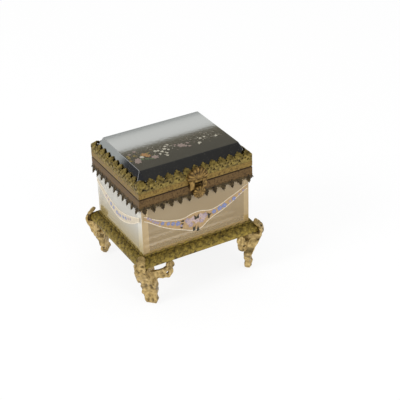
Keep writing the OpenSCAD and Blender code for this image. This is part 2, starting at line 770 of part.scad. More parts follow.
module gallery_front() { color("darkgoldenrod") gallery(rail_hw, rail_hd, leaves_x); }

module gallery_rear() {
    color("darkgoldenrod") to_side("rear") gallery(rail_hw, rail_hd, leaves_x);
}

module gallery_left() {
    color("darkgoldenrod") to_side("left") gallery(rail_hd, rail_hw, leaves_y);
}

module gallery_right() {
    color("darkgoldenrod") to_side("right") gallery(rail_hd, rail_hw, leaves_y);
}

// Clasp

// Round outline with a scalloped edge
module scallop(r, lobes, from, to) {
    circle(r = r * 0.86, $fn = 40);
    for (i = [0:lobes - 1]) rotate(from + (to - from) * (i + 0.5) / lobes)
        translate([r * 0.84, 0]) circle(r = r * 0.16, $fn = 16);
}

module shell_boss() {
    color("peru") difference() {
        union() {
            translate([0, clasp_y, boss_z]) rotate([90, 0, 0]) linear_extrude(boss_t)
                intersection() {
                    scallop(boss_r, 9, 0, 180);
                    translate([-2 * boss_r, 0]) square([4 * boss_r, 2 * boss_r]);
                }
            translate([0, hasp_axis_y, hasp_axis_z])
                rod_x(hasp_knuckle_r, strap_gap - 2 * side_gap);
            block([-strap_gap / 2 + side_gap, hasp_axis_y, hasp_axis_z],
                [strap_gap / 2 - side_gap, clasp_y, boss_z + past]);
        }
        translate([0, hasp_axis_y, hasp_axis_z]) rod_x(hasp_pin_r, strap_gap + past);
    }
}

module hasp() {
    strap_x = (strap_gap + strap_w) / 2;
    color("sienna") difference() {
        union() {
            for (s = [-1, 1]) {
                translate([s * strap_x, hasp_axis_y, hasp_axis_z]) rod_x(hasp_knuckle_r, strap_w);
                translate([s * strap_x - strap_w / 2, pull_back_y, strap_low_z])
                    cube([strap_w, strap_t, hasp_axis_z - strap_low_z]);
            }
            block([-strap_x - strap_w / 2, pull_back_y, strap_low_z],
                [strap_x + strap_w / 2, pull_back_y + strap_t, pull_z + 0.8 * pull_r]);
        }
        translate([0, hasp_axis_y, hasp_axis_z]) rod_x(hasp_pin_r + slip, hasp_l + 2 * past);
    }
}

// Shell in front of the straps
module hasp_pull() {
    shell_t = 1;
    color("peru") translate([0, pull_back_y, pull_z]) rotate([90, 0, 0]) {
        linear_extrude(shell_t) scallop(pull_r, 11, 170, 370);
        translate([0, 0, shell_t - 0.2])
            cylinder(h = 0.8, r1 = 0.8 * pull_r, r2 = 0.35 * pull_r, $fn = smooth);
    }
}

// Tines behind the pull, one on each side of the catch stud
module hasp_tines() {
    tine_w = 1.3;
    tine_l = 1.06 * pull_r;
    color("gold") for (s = [-1, 1])
        translate([s * (stud_r + side_gap + tine_w / 2), 0, pull_z])
            block([-tine_w / 2, pull_back_y, -tine_l / 2], [tine_w / 2, catch_y - side_gap, tine_l / 2]);
}

module hasp_pin() {
    color("gold") translate([0, hasp_axis_y, hasp_axis_z]) {
        rod_x(hasp_pin_r, hasp_l);
        for (s = [-1, 1]) translate([s * (hasp_l / 2 + 0.25), 0, 0]) rod_x(hasp_pin_r + 0.25, 0.5);
    }
}

base_plate();
base_moulding_front();
base_moulding_rear();
base_moulding_left();
base_moulding_right();
foot_front_left();
foot_front_right();
foot_rear_left();
foot_rear_right();
foot_screws();
foot_nuts();
glass_front();
glass_rear();
glass_left();
glass_right();
body_rim();
apron_front();
apron_rear();
apron_left();
apron_right();
catch_plate();
catch_stud();
hinge_leaf_body();
hinge_leaf_lid();
hinge_pin();
hinge_rivets_body();
hinge_rivets_lid();
pad_board();
silk_pad();
lid_glass();
lid_rail();
gallery_front();
gallery_rear();
gallery_left();
gallery_right();
shell_boss();
hasp();
hasp_pull();
hasp_tines();
hasp_pin();
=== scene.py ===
# Looks of a small casket: gilt brass frame, bevelled glass sides, dark glass lid, silk pad.
import json
import math
import bmesh
import bpy
import numpy as np
from mathutils import Matrix, Vector


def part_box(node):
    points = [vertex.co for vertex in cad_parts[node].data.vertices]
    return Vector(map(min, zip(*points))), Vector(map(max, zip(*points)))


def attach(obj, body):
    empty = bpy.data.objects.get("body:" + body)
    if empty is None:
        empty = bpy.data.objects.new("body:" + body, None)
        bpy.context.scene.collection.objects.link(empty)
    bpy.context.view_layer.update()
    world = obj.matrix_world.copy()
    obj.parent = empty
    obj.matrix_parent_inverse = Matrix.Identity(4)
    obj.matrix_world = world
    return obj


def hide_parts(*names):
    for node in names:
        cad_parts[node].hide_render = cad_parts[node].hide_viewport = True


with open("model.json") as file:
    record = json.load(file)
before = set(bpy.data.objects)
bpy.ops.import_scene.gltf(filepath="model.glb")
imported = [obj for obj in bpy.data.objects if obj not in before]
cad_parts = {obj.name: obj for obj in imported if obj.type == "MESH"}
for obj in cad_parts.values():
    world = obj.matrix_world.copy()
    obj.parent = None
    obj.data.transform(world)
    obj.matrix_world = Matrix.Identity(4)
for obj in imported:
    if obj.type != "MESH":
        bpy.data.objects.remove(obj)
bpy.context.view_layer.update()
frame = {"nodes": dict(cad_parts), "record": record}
MM = 0.001
SIDES = {"front": 0, "right": 90, "rear": 180, "left": 270}


def tint(r, g, b):
    """A colour given from 0 to 255 as the screen shows it, as linear light."""
    return tuple((c / 12.92 if c <= 0.04045 else ((c + 0.055) / 1.055) ** 2.4)
                 for c in (r / 255, g / 255, b / 255)) + (1.0,)


def sizes(node):
    low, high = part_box(node)
    return np.array(low) / MM, np.array(high) / MM


# Finishes

def new_finish(name):
    mat = bpy.data.materials.new(name)
    mat.use_nodes = True
    nodes, links = mat.node_tree.nodes, mat.node_tree.links
    return mat, nodes, links, nodes["Principled BSDF"]


def cloud(nodes, links, scale, detail=5.0, rough=0.6):
    where = nodes.new("ShaderNodeTexCoord")
    noise = nodes.new("ShaderNodeTexNoise")
    noise.inputs["Scale"].default_value = scale
    noise.inputs["Detail"].default_value = detail
    noise.inputs["Roughness"].default_value = rough
    links.new(where.outputs["Object"], noise.inputs["Vector"])
    return noise.outputs["Fac"]


def ramp(nodes, links, fac, stops):
    r = nodes.new("ShaderNodeValToRGB")
    r.color_ramp.elements[0].position, r.color_ramp.elements[0].color = stops[0]
    r.color_ramp.elements[1].position, r.color_ramp.elements[1].color = stops[-1]
    for place, colour in stops[1:-1]:
        r.color_ramp.elements.new(place).color = colour
    links.new(fac, r.inputs["Fac"])
    return r.outputs["Color"]


def blend_colour(nodes, links, fac, a, b, kind="MIX"):
    m = nodes.new("ShaderNodeMix")
    m.data_type = "RGBA"
    m.blend_type = kind
    for value, socket in ((fac, m.inputs[0]), (a, m.inputs[6]), (b, m.inputs[7])):
        if isinstance(value, bpy.types.NodeSocket):
            links.new(value, socket)
        else:
            socket.default_value = value
    return m.outputs[2]


def aged_brass(name, bright, worn, dark, rough=0.42, metallic=0.85, grain=0.25, mottle=420,
               deep=0.0015):
    """Gilt brass: mottled tarnish, painted shade in the hollows, fine pits."""
    mat, nodes, links, shader = new_finish(name)
    colour = ramp(nodes, links, cloud(nodes, links, mottle, 6, 0.65),
                  [(0.32, dark), (0.46, worn), (0.68, bright)])
    if deep:
        # Ambient occlusion darkens the creases towards the dark colour: painted shade.
        closed = nodes.new("ShaderNodeAmbientOcclusion")
        closed.samples = 8
        closed.only_local = True
        closed.inputs["Distance"].default_value = deep
        painted_shade = ramp(nodes, links, closed.outputs["AO"],
                     [(0.2, (1, 1, 1, 1)), (0.55, (0.55,) * 3 + (1,)), (0.9, (0, 0, 0, 1))])
        colour = blend_colour(nodes, links, painted_shade, colour, dark)
    # The mesh's hollow attribute darkens the carved recesses: painted shade.
    hollow = nodes.new("ShaderNodeAttribute")
    hollow.attribute_name = "hollow"
    colour = blend_colour(nodes, links, hollow.outputs["Fac"], colour, dark)
    links.new(colour, shader.inputs["Base Color"])
    shader.inputs["Metallic"].default_value = metallic
    links.new(ramp(nodes, links, cloud(nodes, links, 700, 3),
                   [(0.3, (rough - 0.1,) * 3 + (1,)), (0.7, (rough + 0.18,) * 3 + (1,))]),
              shader.inputs["Roughness"])
    bump = nodes.new("ShaderNodeBump")
    bump.inputs["Strength"].default_value = grain
    bump.inputs["Distance"].default_value = 0.0003
    links.new(cloud(nodes, links, 1500, 4), bump.inputs["Height"])
    links.new(bump.outputs["Normal"], shader.inputs["Normal"])
    return mat


def clear_glass(name, colour, pale, warm, low, haze_of):
    """Old thick glass: it lets the light through, is a little milky, and paler in its bevels."""
    mat, nodes, links, milk = new_finish(name)
    facing = nodes.new("ShaderNodeNewGeometry")
    turned_to = nodes.new("ShaderNodeSeparateXYZ")
    links.new(facing.outputs["True Normal"], turned_to.inputs[0])
    square = []
    for axis in "XYZ":
        length = nodes.new("ShaderNodeMath")
        length.operation = "ABSOLUTE"
        links.new(turned_to.outputs[axis], length.inputs[0])
        square.append(length.outputs[0])
    largest = square[0]
    for other in square[1:]:
        pick = nodes.new("ShaderNodeMath")
        pick.operation = "MAXIMUM"
        links.new(largest, pick.inputs[0])
        links.new(other, pick.inputs[1])
        largest = pick.outputs[0]
    bevel = ramp(nodes, links, largest, [(0.9, (1, 1, 1, 1)), (0.992, (1, 1, 1, 1)), (0.997, (0, 0, 0, 1))])
    where = nodes.new("ShaderNodeTexCoord")
    place = nodes.new("ShaderNodeSeparateXYZ")
    links.new(where.outputs["Object"], place.inputs[0])
    # Below mid-height the milk takes the low colour, a painted reflection of the gilt base.
    height = nodes.new("ShaderNodeMapRange")
    height.inputs["From Min"].default_value = 0.044
    height.inputs["From Max"].default_value = 0.062
    links.new(place.outputs["Z"], height.inputs["Value"])
    body_colour = blend_colour(nodes, links, cloud(nodes, links, 28, 2), warm, pale)
    links.new(blend_colour(nodes, links, height.outputs["Result"], low, body_colour),
              milk.inputs["Base Color"])
    milk.inputs["Roughness"].default_value = 0.5
    milk.inputs["IOR"].default_value = 1.45
    through = nodes.new("ShaderNodeBsdfTransparent")
    through.inputs["Color"].default_value = tuple(c ** 0.3 for c in colour[:3]) + (1,)
    gloss = nodes.new("ShaderNodeBsdfGlossy")
    gloss.inputs["Roughness"].default_value = 0.04
    haze = nodes.new("ShaderNodeMapRange")
    haze.inputs["To Min"].default_value = haze_of[0]
    haze.inputs["To Max"].default_value = haze_of[1]
    links.new(bevel, haze.inputs["Value"])
    body, skin = nodes.new("ShaderNodeMixShader"), nodes.new("ShaderNodeMixShader")
    links.new(haze.outputs["Result"], body.inputs[0])
    links.new(through.outputs[0], body.inputs[1])
    links.new(milk.outputs[0], body.inputs[2])
    edge = nodes.new("ShaderNodeFresnel")
    edge.inputs["IOR"].default_value = 1.7
    links.new(edge.outputs[0], skin.inputs[0])
    links.new(body.outputs[0], skin.inputs[1])
    links.new(gloss.outputs[0], skin.inputs[2])
    links.new(skin.outputs[0], nodes["Material Output"].inputs["Surface"])
    return mat


def dark_glass(name):
    mat, nodes, links, shader = new_finish(name)
    links.new(ramp(nodes, links, cloud(nodes, links, 120, 4),
                   [(0.35, tint(22, 21, 18)), (0.7, tint(34, 32, 27))]),
              shader.inputs["Base Color"])
    shader.inputs["Roughness"].default_value = 0.03
    shader.inputs["IOR"].default_value = 6.5
    scratches = nodes.new("ShaderNodeBump")
    scratches.inputs["Strength"].default_value = 0.01
    scratches.inputs["Distance"].default_value = 0.0002
    links.new(cloud(nodes, links, 400, 3), scratches.inputs["Height"])
    links.new(scratches.outputs["Normal"], shader.inputs["Normal"])
    return mat


def woven(name, light, shade, scale, sheen=0.3):
    """Cloth or board: crossed threads on Object coordinates, with soft colour clouds."""
    mat, nodes, links, shader = new_finish(name)
    # Where the hollow attribute is high, in the pad's dimples and pleats, the cloth turns dark: painted shade.
    hollow = nodes.new("ShaderNodeAttribute")
    hollow.attribute_name = "hollow"
    deep = tuple(c * 0.22 for c in shade[:3]) + (1,)
    links.new(blend_colour(nodes, links, hollow.outputs["Fac"],
                           ramp(nodes, links, cloud(nodes, links, 70), [(0.3, shade), (0.7, light)]), deep),
              shader.inputs["Base Color"])
    shader.inputs["Roughness"].default_value = 0.6
    shader.inputs["Sheen Weight"].default_value = sheen
    where = nodes.new("ShaderNodeTexCoord")
    bump = nodes.new("ShaderNodeBump")
    bump.inputs["Strength"].default_value = 0.3
    bump.inputs["Distance"].default_value = 0.0001
    height = None
    for axis in ("X", "Y"):
        thread = nodes.new("ShaderNodeTexWave")
        thread.bands_direction = axis
        thread.inputs["Scale"].default_value = scale
        links.new(where.outputs["Object"], thread.inputs["Vector"])
        if height is None:
            height = thread.outputs["Fac"]
        else:
            both = nodes.new("ShaderNodeMath")
            both.operation = "MULTIPLY"
            links.new(height, both.inputs[0])
            links.new(thread.outputs["Fac"], both.inputs[1])
            height = both.outputs[0]
    links.new(height, bump.inputs["Height"])
    links.new(bump.outputs["Normal"], shader.inputs["Normal"])
    return mat


def enamel(name, colour):
    mat, nodes, links, shader = new_finish(name)
    low = tuple(c * 0.75 for c in colour[:3]) + (1,)
    links.new(ramp(nodes, links, cloud(nodes, links, 900, 2), [(0.3, low), (0.65, colour)]),
              shader.inputs["Base Color"])
    shader.inputs["Roughness"].default_value = 0.35
    return mat


FINISH = {
    "rail_brass": aged_brass("rail_brass", tint(162, 136, 74), tint(132, 106, 54), tint(70, 52, 26),
                             0.45, 0.7, mottle=700),
    "apron_brass": aged_brass("apron_brass", tint(104, 88, 58), tint(74, 61, 40), tint(28, 22, 14),
                              0.5, 0.7),
    "gallery_gilt": aged_brass("gallery_gilt", tint(172, 150, 78), tint(126, 108, 56),
                               tint(36, 28, 15), 0.5, 0.6),
    "moulding_gilt": aged_brass("moulding_gilt", tint(176, 152, 70), tint(134, 114, 50),
                                tint(52, 41, 18), 0.52, 0.55),
    "foot_gilt": aged_brass("foot_gilt", tint(222, 194, 132), tint(176, 149, 94), tint(66, 52, 28),
                            0.42, 0.6, mottle=300),
    "shell_brass": aged_brass("shell_brass", tint(186, 150, 86), tint(134, 106, 58),
                              tint(46, 34, 20), 0.42, 0.7),
    "plate_brass": aged_brass("plate_brass", tint(150, 122, 68), tint(118, 92, 48), tint(60, 46, 24)),
    "pin_brass": aged_brass("pin_brass", tint(186, 152, 88), tint(150, 122, 70), tint(78, 60, 32),
                            0.3, deep=0),
    "clear_glass": clear_glass("clear_glass", tint(238, 229, 206), tint(226, 200, 152),
                               tint(208, 174, 116), tint(204, 172, 112), (0.45, 0.64)),
    "dark_glass": dark_glass("dark_glass"),
    "pad_silk": woven("pad_silk", tint(236, 208, 158), tint(220, 190, 138), 900),
    "board_card": woven("board_card", tint(170, 150, 118), tint(130, 110, 80), 500, 0.0),
}
RIM_BRASS = aged_brass("rim_brass", tint(134, 106, 66), tint(104, 80, 48), tint(48, 34, 18),
                       0.48, 0.7, mottle=700)
# A paler copy of the panel glass for the left and right sides: painted light, for the brighter light seen through
# them.
LIT_SIDE_GLASS = clear_glass("lit_side_glass", tint(240, 236, 222), tint(246, 244, 234), tint(236, 228, 208),
                         tint(204, 180, 112), (0.5, 0.66))
for part in frame["record"]["subparts"]:
    mesh = frame["nodes"][part["node"]].data
    mesh.materials.clear()
    mesh.materials.append(LIT_SIDE_GLASS if part["node"] in ("glass_left", "glass_right")
                          else FINISH[part["material_slot"]])


# Making pieces

def piece(name, mesh, body, slot, stands_for, smooth=True):
    """Puts a finished mesh, in metres, into the scene on its body."""
    obj = bpy.data.objects.new(name, mesh)
    bpy.context.scene.collection.objects.link(obj)
    if not mesh.materials:
        mesh.materials.append(FINISH[slot])
    if smooth:
        mesh.shade_smooth()
        mesh.set_sharp_from_angle(angle=math.radians(38))
    else:
        mesh.shade_flat()
    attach(obj, body)
    if stands_for:
        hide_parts(*stands_for)
    return obj


def sheet_mesh(name, points, hollow, thick):
    """A pressed sheet from a grid of points in mm, given its thickness inwards."""
    nu, nv = points.shape[:2]
    at = np.arange(nu * nv).reshape(nu, nv)
    quads = np.stack([at[:-1, :-1], at[1:, :-1], at[1:, 1:], at[:-1, 1:]], -1).reshape(-1, 4)
    mesh = bpy.data.meshes.new(name)
    mesh.from_pydata((points.reshape(-1, 3) * MM).tolist(), [], quads.tolist())
    mesh.attributes.new("hollow", "FLOAT", "POINT").data.foreach_set(
        "value", np.clip(hollow, 0, 1).reshape(-1).astype(np.float32))
    obj = bpy.data.objects.new(name, mesh)
    bpy.context.scene.collection.objects.link(obj)
    wall = obj.modifiers.new("wall", "SOLIDIFY")
    wall.thickness = thick * MM
    wall.offset = -1
    return baked(obj)


def baked(obj):
    """The object's mesh with its modifiers applied; the object itself goes."""
    bpy.context.view_layer.update()
    seen = obj.evaluated_get(bpy.context.evaluated_depsgraph_get())
    mesh = bpy.data.meshes.new_from_object(seen)
    bpy.data.objects.remove(obj)
    return mesh


def turned(mesh, side):
    mesh.transform(Matrix.Rotation(math.radians(SIDES[side]), 4, "Z"))
    mesh.update()
    return mesh


def cut_mitres(mesh, hw, hd):
    """Cuts a front strip at 45 degrees at both corners and closes the cuts."""
    bm = bmesh.new()
    bm.from_mesh(mesh)
    for s in (-1, 1):
        geom = bm.verts[:] + bm.edges[:] + bm.faces[:]
        bmesh.ops.bisect_plane(bm, geom=geom, plane_co=Vector((s * hw, -hd, 0)) * MM,
                               plane_no=Vector((s, 1, 0)), clear_outer=True)
        open_edges = [e for e in bm.edges if e.is_boundary]
        bmesh.ops.holes_fill(bm, edges=open_edges)
    bmesh.ops.recalc_face_normals(bm, faces=bm.faces)
    bm.to_mesh(mesh)
    bm.free()
    return mesh


def outline_mesh(name, loops, depth, edge):
    """A flat stamping from closed outlines in mm (the first is outside), with soft edges."""
    curve = bpy.data.curves.new(name, "CURVE")
    curve.dimensions = "2D"
    curve.fill_mode = "BOTH"
    curve.extrude = (depth / 2 - edge) * MM
    curve.bevel_depth = edge * MM
    curve.bevel_resolution = 1
    curve.offset = -edge * MM
    for loop in loops:
        line = curve.splines.new("POLY")
        line.points.add(len(loop) - 1)
        for point, (x, y) in zip(line.points, loop):
            point.co = (x * MM, y * MM, 0, 1)
        line.use_cyclic_u = True
    obj = bpy.data.objects.new(name, curve)
    bpy.context.scene.collection.objects.link(obj)
    bpy.context.view_layer.update()
    mesh = bpy.data.meshes.new_from_object(obj.evaluated_get(bpy.context.evaluated_depsgraph_get()))
    bpy.data.objects.remove(obj)
    return mesh


def stood_up(mesh, y, z, bend_at, lean, down=False):
    """Stands a flat stamping up at the front; its own Y becomes height. Past the height
    bend_at it leans: in over the box going up, or out from the box going down."""
    bm = bmesh.new()
    bm.from_mesh(mesh)
    bmesh.ops.remove_doubles(bm, verts=bm.verts, dist=1e-7)
    bmesh.ops.bisect_plane(bm, geom=bm.verts[:] + bm.edges[:] + bm.faces[:],
                           plane_co=(0, bend_at * MM, 0), plane_no=(0, 1, 0))
    bmesh.ops.triangulate(bm, faces=bm.faces)
    a = math.radians(lean)
    way = -1 if down else 1
    for v in bm.verts:
        x, h, n = v.co / MM
        over = way * (h - bend_at)
        if over > 0:
            out = way * over * math.sin(a) - n * math.cos(a)
            rise = bend_at + way * over * math.cos(a) + n * math.sin(a)
        else:
            out, rise = -n, h
        v.co = Vector((x, y + out, z + rise)) * MM
    bmesh.ops.recalc_face_normals(bm, faces=bm.faces)
    bm.to_mesh(mesh)
    bm.free()
    return mesh


def row_tree():
    """Geometry nodes: copies of one pattern piece in a straight row along X."""
    tree = bpy.data.node_groups.new("row_of_copies", "GeometryNodeTree")
    face = tree.interface
    face.new_socket("Geometry", in_out="OUTPUT", socket_type="NodeSocketGeometry")
    face.new_socket("Pattern", in_out="INPUT", socket_type="NodeSocketObject")
    face.new_socket("Count", in_out="INPUT", socket_type="NodeSocketInt")
    face.new_socket("First", in_out="INPUT", socket_type="NodeSocketVector")
    face.new_socket("Step", in_out="INPUT", socket_type="NodeSocketVector")
    face.new_socket("Finish", in_out="INPUT", socket_type="NodeSocketMaterial")
    n, links = tree.nodes, tree.links
    given, out = n.new("NodeGroupInput"), n.new("NodeGroupOutput")
    line = n.new("GeometryNodeMeshLine")
    info = n.new("GeometryNodeObjectInfo")
    put = n.new("GeometryNodeInstanceOnPoints")
    real = n.new("GeometryNodeRealizeInstances")
    finish = n.new("GeometryNodeSetMaterial")
    links.new(given.outputs["Pattern"], info.inputs["Object"])
    links.new(given.outputs["Count"], line.inputs["Count"])
    links.new(given.outputs["First"], line.inputs["Start Location"])
    links.new(given.outputs["Step"], line.inputs["Offset"])
    links.new(line.outputs["Mesh"], put.inputs["Points"])
    links.new(info.outputs["Geometry"], put.inputs["Instance"])
    links.new(put.outputs["Instances"], real.inputs["Geometry"])
    links.new(real.outputs["Geometry"], finish.inputs["Geometry"])
    links.new(given.outputs["Finish"], finish.inputs["Material"])
    links.new(finish.outputs["Geometry"], out.inputs["Geometry"])
    return tree


ROW = row_tree()


def row_of(pattern, count, step, slot):
    """A row of copies of a mesh, centred on X, as one mesh."""
    unit = bpy.data.objects.new("pattern", pattern)
    holder = bpy.data.objects.new("row", bpy.data.meshes.new("row"))
    for o in (unit, holder):
        bpy.context.scene.collection.objects.link(o)
    mod = holder.modifiers.new("row", "NODES")
    mod.node_group = ROW
    key = {s.name: s.identifier for s in ROW.interface.items_tree if s.in_out == "INPUT"}
    mod[key["Pattern"]] = unit
    mod[key["Count"]] = count
    mod[key["First"]] = (-(count - 1) / 2 * step * MM, 0.0, 0.0)
    mod[key["Step"]] = (step * MM, 0.0, 0.0)
    mod[key["Finish"]] = FINISH[slot]
    mesh = baked(holder)
    bpy.data.objects.remove(unit)
    return mesh


def joined(name, meshes):
    """One mesh from several, with the doubled points merged."""
    bm = bmesh.new()
    for m in meshes:
        bm.from_mesh(m)
    bmesh.ops.remove_doubles(bm, verts=bm.verts, dist=2e-6)
    mesh = bpy.data.meshes.new(name)
    bm.to_mesh(mesh)
    bm.free()
    return mesh


def merged(name, meshes):
    """One mesh from several, each keeping its own finishes."""
    objs = []
    for m in meshes:
        o = bpy.data.objects.new(name, m)
        bpy.context.scene.collection.objects.link(o)
        objs.append(o)
    with bpy.context.temp_override(active_object=objs[0], object=objs[0],
                                   selected_editable_objects=objs, selected_objects=objs):
        bpy.ops.object.join()
    mesh = objs[0].data.copy()
    bpy.data.objects.remove(objs[0])
    return mesh


def leaf_line(w, h, n=9):
    side = [(w / 2 * (1 - (i / n) ** 2) * (1 + 0.25 * math.sin(2 * math.pi * i / n)), h * i / n)
            for i in range(n + 1)]
    return side + [(-x, y) for x, y in reversed(side) if x > 1e-6]


# Base mouldings: a convex strip with a lattice of leaves, and a leaf crest

def moulding(side, hw, hd, leaves):
    low, high = sizes("base_moulding_front")
    plate_low, plate_high = sizes("base_plate")
    out = 0 - low[1] - plate_high[1]
    bottom, top = low[2], high[2] - 2.0
    edge, web = 1.4, 0.6
    arc = [(web + (out - web) * math.sin(t), bottom + edge + (top - bottom - edge) * math.cos(t))
           for t in np.linspace(0, math.pi / 2, 40)]
    line = np.array([(0.1, top)] + arc + [(out, bottom + 0.9), (out + 0.0, bottom + 0.25),
                                         (out - 0.3, bottom), (out - 1.0, bottom + 0.05)])
    d = np.gradient(line, axis=0)
    normal = np.stack([-d[:, 1], d[:, 0]], -1)
    normal /= np.linalg.norm(normal, axis=1)[:, None] + 1e-9
    along = np.concatenate([[0], np.cumsum(np.linalg.norm(np.diff(line, axis=0), axis=1))])
    nu = int(2 * (hw + out) / 0.28)
    u = np.linspace(-1, 1, nu)
    step = 2 * hw / leaves
    S = u[:, None] * (hw + line[None, :, 0])
    T = np.broadcast_to(along[None, :], S.shape)
    v = np.clip((T - 0.7) / 6.8, 0, 1)
    inside = np.clip(np.minimum(T - 0.5, 7.6 - T) / 0.5, 0, 1)
    p = S / step + 0.05 * np.sin(1.7 * S) + 0.03 * np.sin(0.61 * S + 1.0)
    rhomb = np.abs(np.sin(np.pi * (p + v))) * np.abs(np.sin(np.pi * (p - v)))
    fine = np.abs(np.sin(2 * np.pi * (p + 1.5 * v))) * np.abs(np.sin(2 * np.pi * (p - 1.5 * v)))
    rhomb = rhomb * (0.72 + 0.28 * np.sin(3.1 * S + 2.3 * T)) + 0.35 * fine
    vein = np.exp(-((np.abs((p + 0.5) % 1 - 0.5)) / 0.05) ** 2) * 0.35
    height = inside * (0.42 * rhomb ** 0.6 - 0.16 * vein) - 0.38 * inside
    bead = np.exp(-((T - 8.1) / 0.35) ** 2) * 0.12
    height = height + bead
    outward = line[None, :, 0] + normal[None, :, 0] * height
    upward = line[None, :, 1] + normal[None, :, 1] * height
    points = np.stack([S, -hd - outward, upward], -1)
    # Darker in the lattice recesses, the deeper the darker: painted shade.
    hollow = inside * np.clip(0.8 - 1.7 * rhomb, 0, 0.8) * (1 - 0.45 * v)
    strip = sheet_mesh("strip", points[:, ::-1], hollow[:, ::-1], 0.5)
    crest_leaf = outline_mesh("crest_leaf", [leaf_line(step * 0.98, 2.0) ], 0.5, 0.12)
    crest_leaf = stood_up(crest_leaf, -hd - 0.62, top - 0.02, 1.2, 0)
    crest = cut_mitres(row_of(crest_leaf, leaves, step, "moulding_gilt"), hw + web, hd + web)
    mesh = turned(joined("moulding", [strip, crest]), side)
    return piece("moulding_" + side, mesh, "root", "moulding_gilt", ["base_moulding_" + side])


plate_hw, plate_hd = sizes("base_plate")[1][:2]
for side, hw, hd, leaves in (("front", plate_hw, plate_hd, 14), ("rear", plate_hw, plate_hd, 14),
                             ("left", plate_hd, plate_hw, 12), ("right", plate_hd, plate_hw, 12)):
    moulding(side, hw, hd, leaves)


# Galleries round the lid: a pierced band with leaves that lie in over the glass

def gallery(side, hw, hd, leaves):
    z = sizes("lid_rail")[1][2]
    step = 2 * hw / leaves
    w = step / 2
    upright, tip = 5.45, 4.5
    outer = [(-w, 0), (w, 0), (w, upright - 0.3), (w * 0.86, upright + 0.5), (w * 0.95, upright + 1.3),
             (w * 0.74, upright + 2.1), (w * 0.56, upright + 1.5), (w * 0.62, upright + 2.9),
             (w * 0.34, upright + 3.5), (w * 0.26, upright + 2.9), (w * 0.2, upright + 4.1),
             (0, upright + tip)]
    outer += [(-x, y) for x, y in reversed(outer[3:-1])] + [(-w, upright - 0.3)]
    arrow = [(-1.0, 1.6), (-0.5, 1.6), (0, 2.5), (0.5, 1.6), (1.0, 1.6), (0, 3.7)]
    dots = [[(sx * w * 0.62 + 0.42 * math.cos(t), 4.1 + 0.55 * math.sin(t))
             for t in np.linspace(0, 2 * math.pi, 9)[:-1]] for sx in (-1, 1)]
    leaf = outline_mesh("gallery_leaf", [outer, arrow] + dots, 0.55, 0.13)
    leaf = stood_up(leaf, -hd + 0.3, z, upright, 46)
    rib = outline_mesh("leaf_rib", [leaf_line(0.7, tip - 0.6)], 0.5, 0.14)
    rib = stood_up(rib, -hd + 0.3, z, 0.0, 46)
    for v in rib.vertices:
        v.co.z += upright * MM
    curls = []
    for sx in (-1, 1):
        ring = [(sx * w * 0.62 + 0.85 * math.cos(t), 4.1 + 0.95 * math.sin(t))
                for t in np.linspace(0, 2 * math.pi, 13)[:-1]]
        hole = [(sx * w * 0.62 + 0.42 * math.cos(t), 4.1 + 0.55 * math.sin(t))
                for t in np.linspace(0, 2 * math.pi, 9)[:-1]]
        curls.append(stood_up(outline_mesh("curl", [ring, hole], 0.8, 0.12), -hd + 0.1, z, upright, 46))
    for sx in (-1, 1):
        side_rib = outline_mesh("side_rib", [leaf_line(0.5, 2.3)], 0.6, 0.12)
        side_rib.transform(Matrix.Rotation(-sx * 0.55, 4, "Z"))
        side_rib = stood_up(side_rib, -hd + 0.2, z, 0.0, 46)
        for v in side_rib.vertices:
            v.co.z += upright * MM
        curls.append(side_rib)
    strip = row_of(joined("leaf", [leaf, rib] + curls), leaves, step, "gallery_gilt")
    bead = bpy.data.meshes.new("bead")
    bm = bmesh.new()
    bmesh.ops.create_uvsphere(bm, u_segments=8, v_segments=6, radius=0.45 * MM)
    bmesh.ops.translate(bm, verts=bm.verts, vec=Vector((0, -hd + 0.35, z + 0.6)) * MM)
    bm.to_mesh(bead)
    bm.free()
    beads = row_of(bead, int(2 * hw / 1.15), 1.15, "gallery_gilt")
    mesh = cut_mitres(joined("gallery", [strip, beads]), hw, hd)
    mesh.materials.clear()
    return piece("gallery_leaves_" + side, turned(mesh, side), "lid", "gallery_gilt",
                 ["gallery_" + side])


rail_hw, rail_hd = sizes("lid_rail")[1][:2]
for side, hw, hd, leaves in (("front", rail_hw, rail_hd, 13), ("rear", rail_hw, rail_hd, 13),
                             ("left", rail_hd, rail_hw, 11), ("right", rail_hd, rail_hw, 11)):
    gallery(side, hw, hd, leaves)

# Aprons: a band with leaf teeth that flare out over the glass

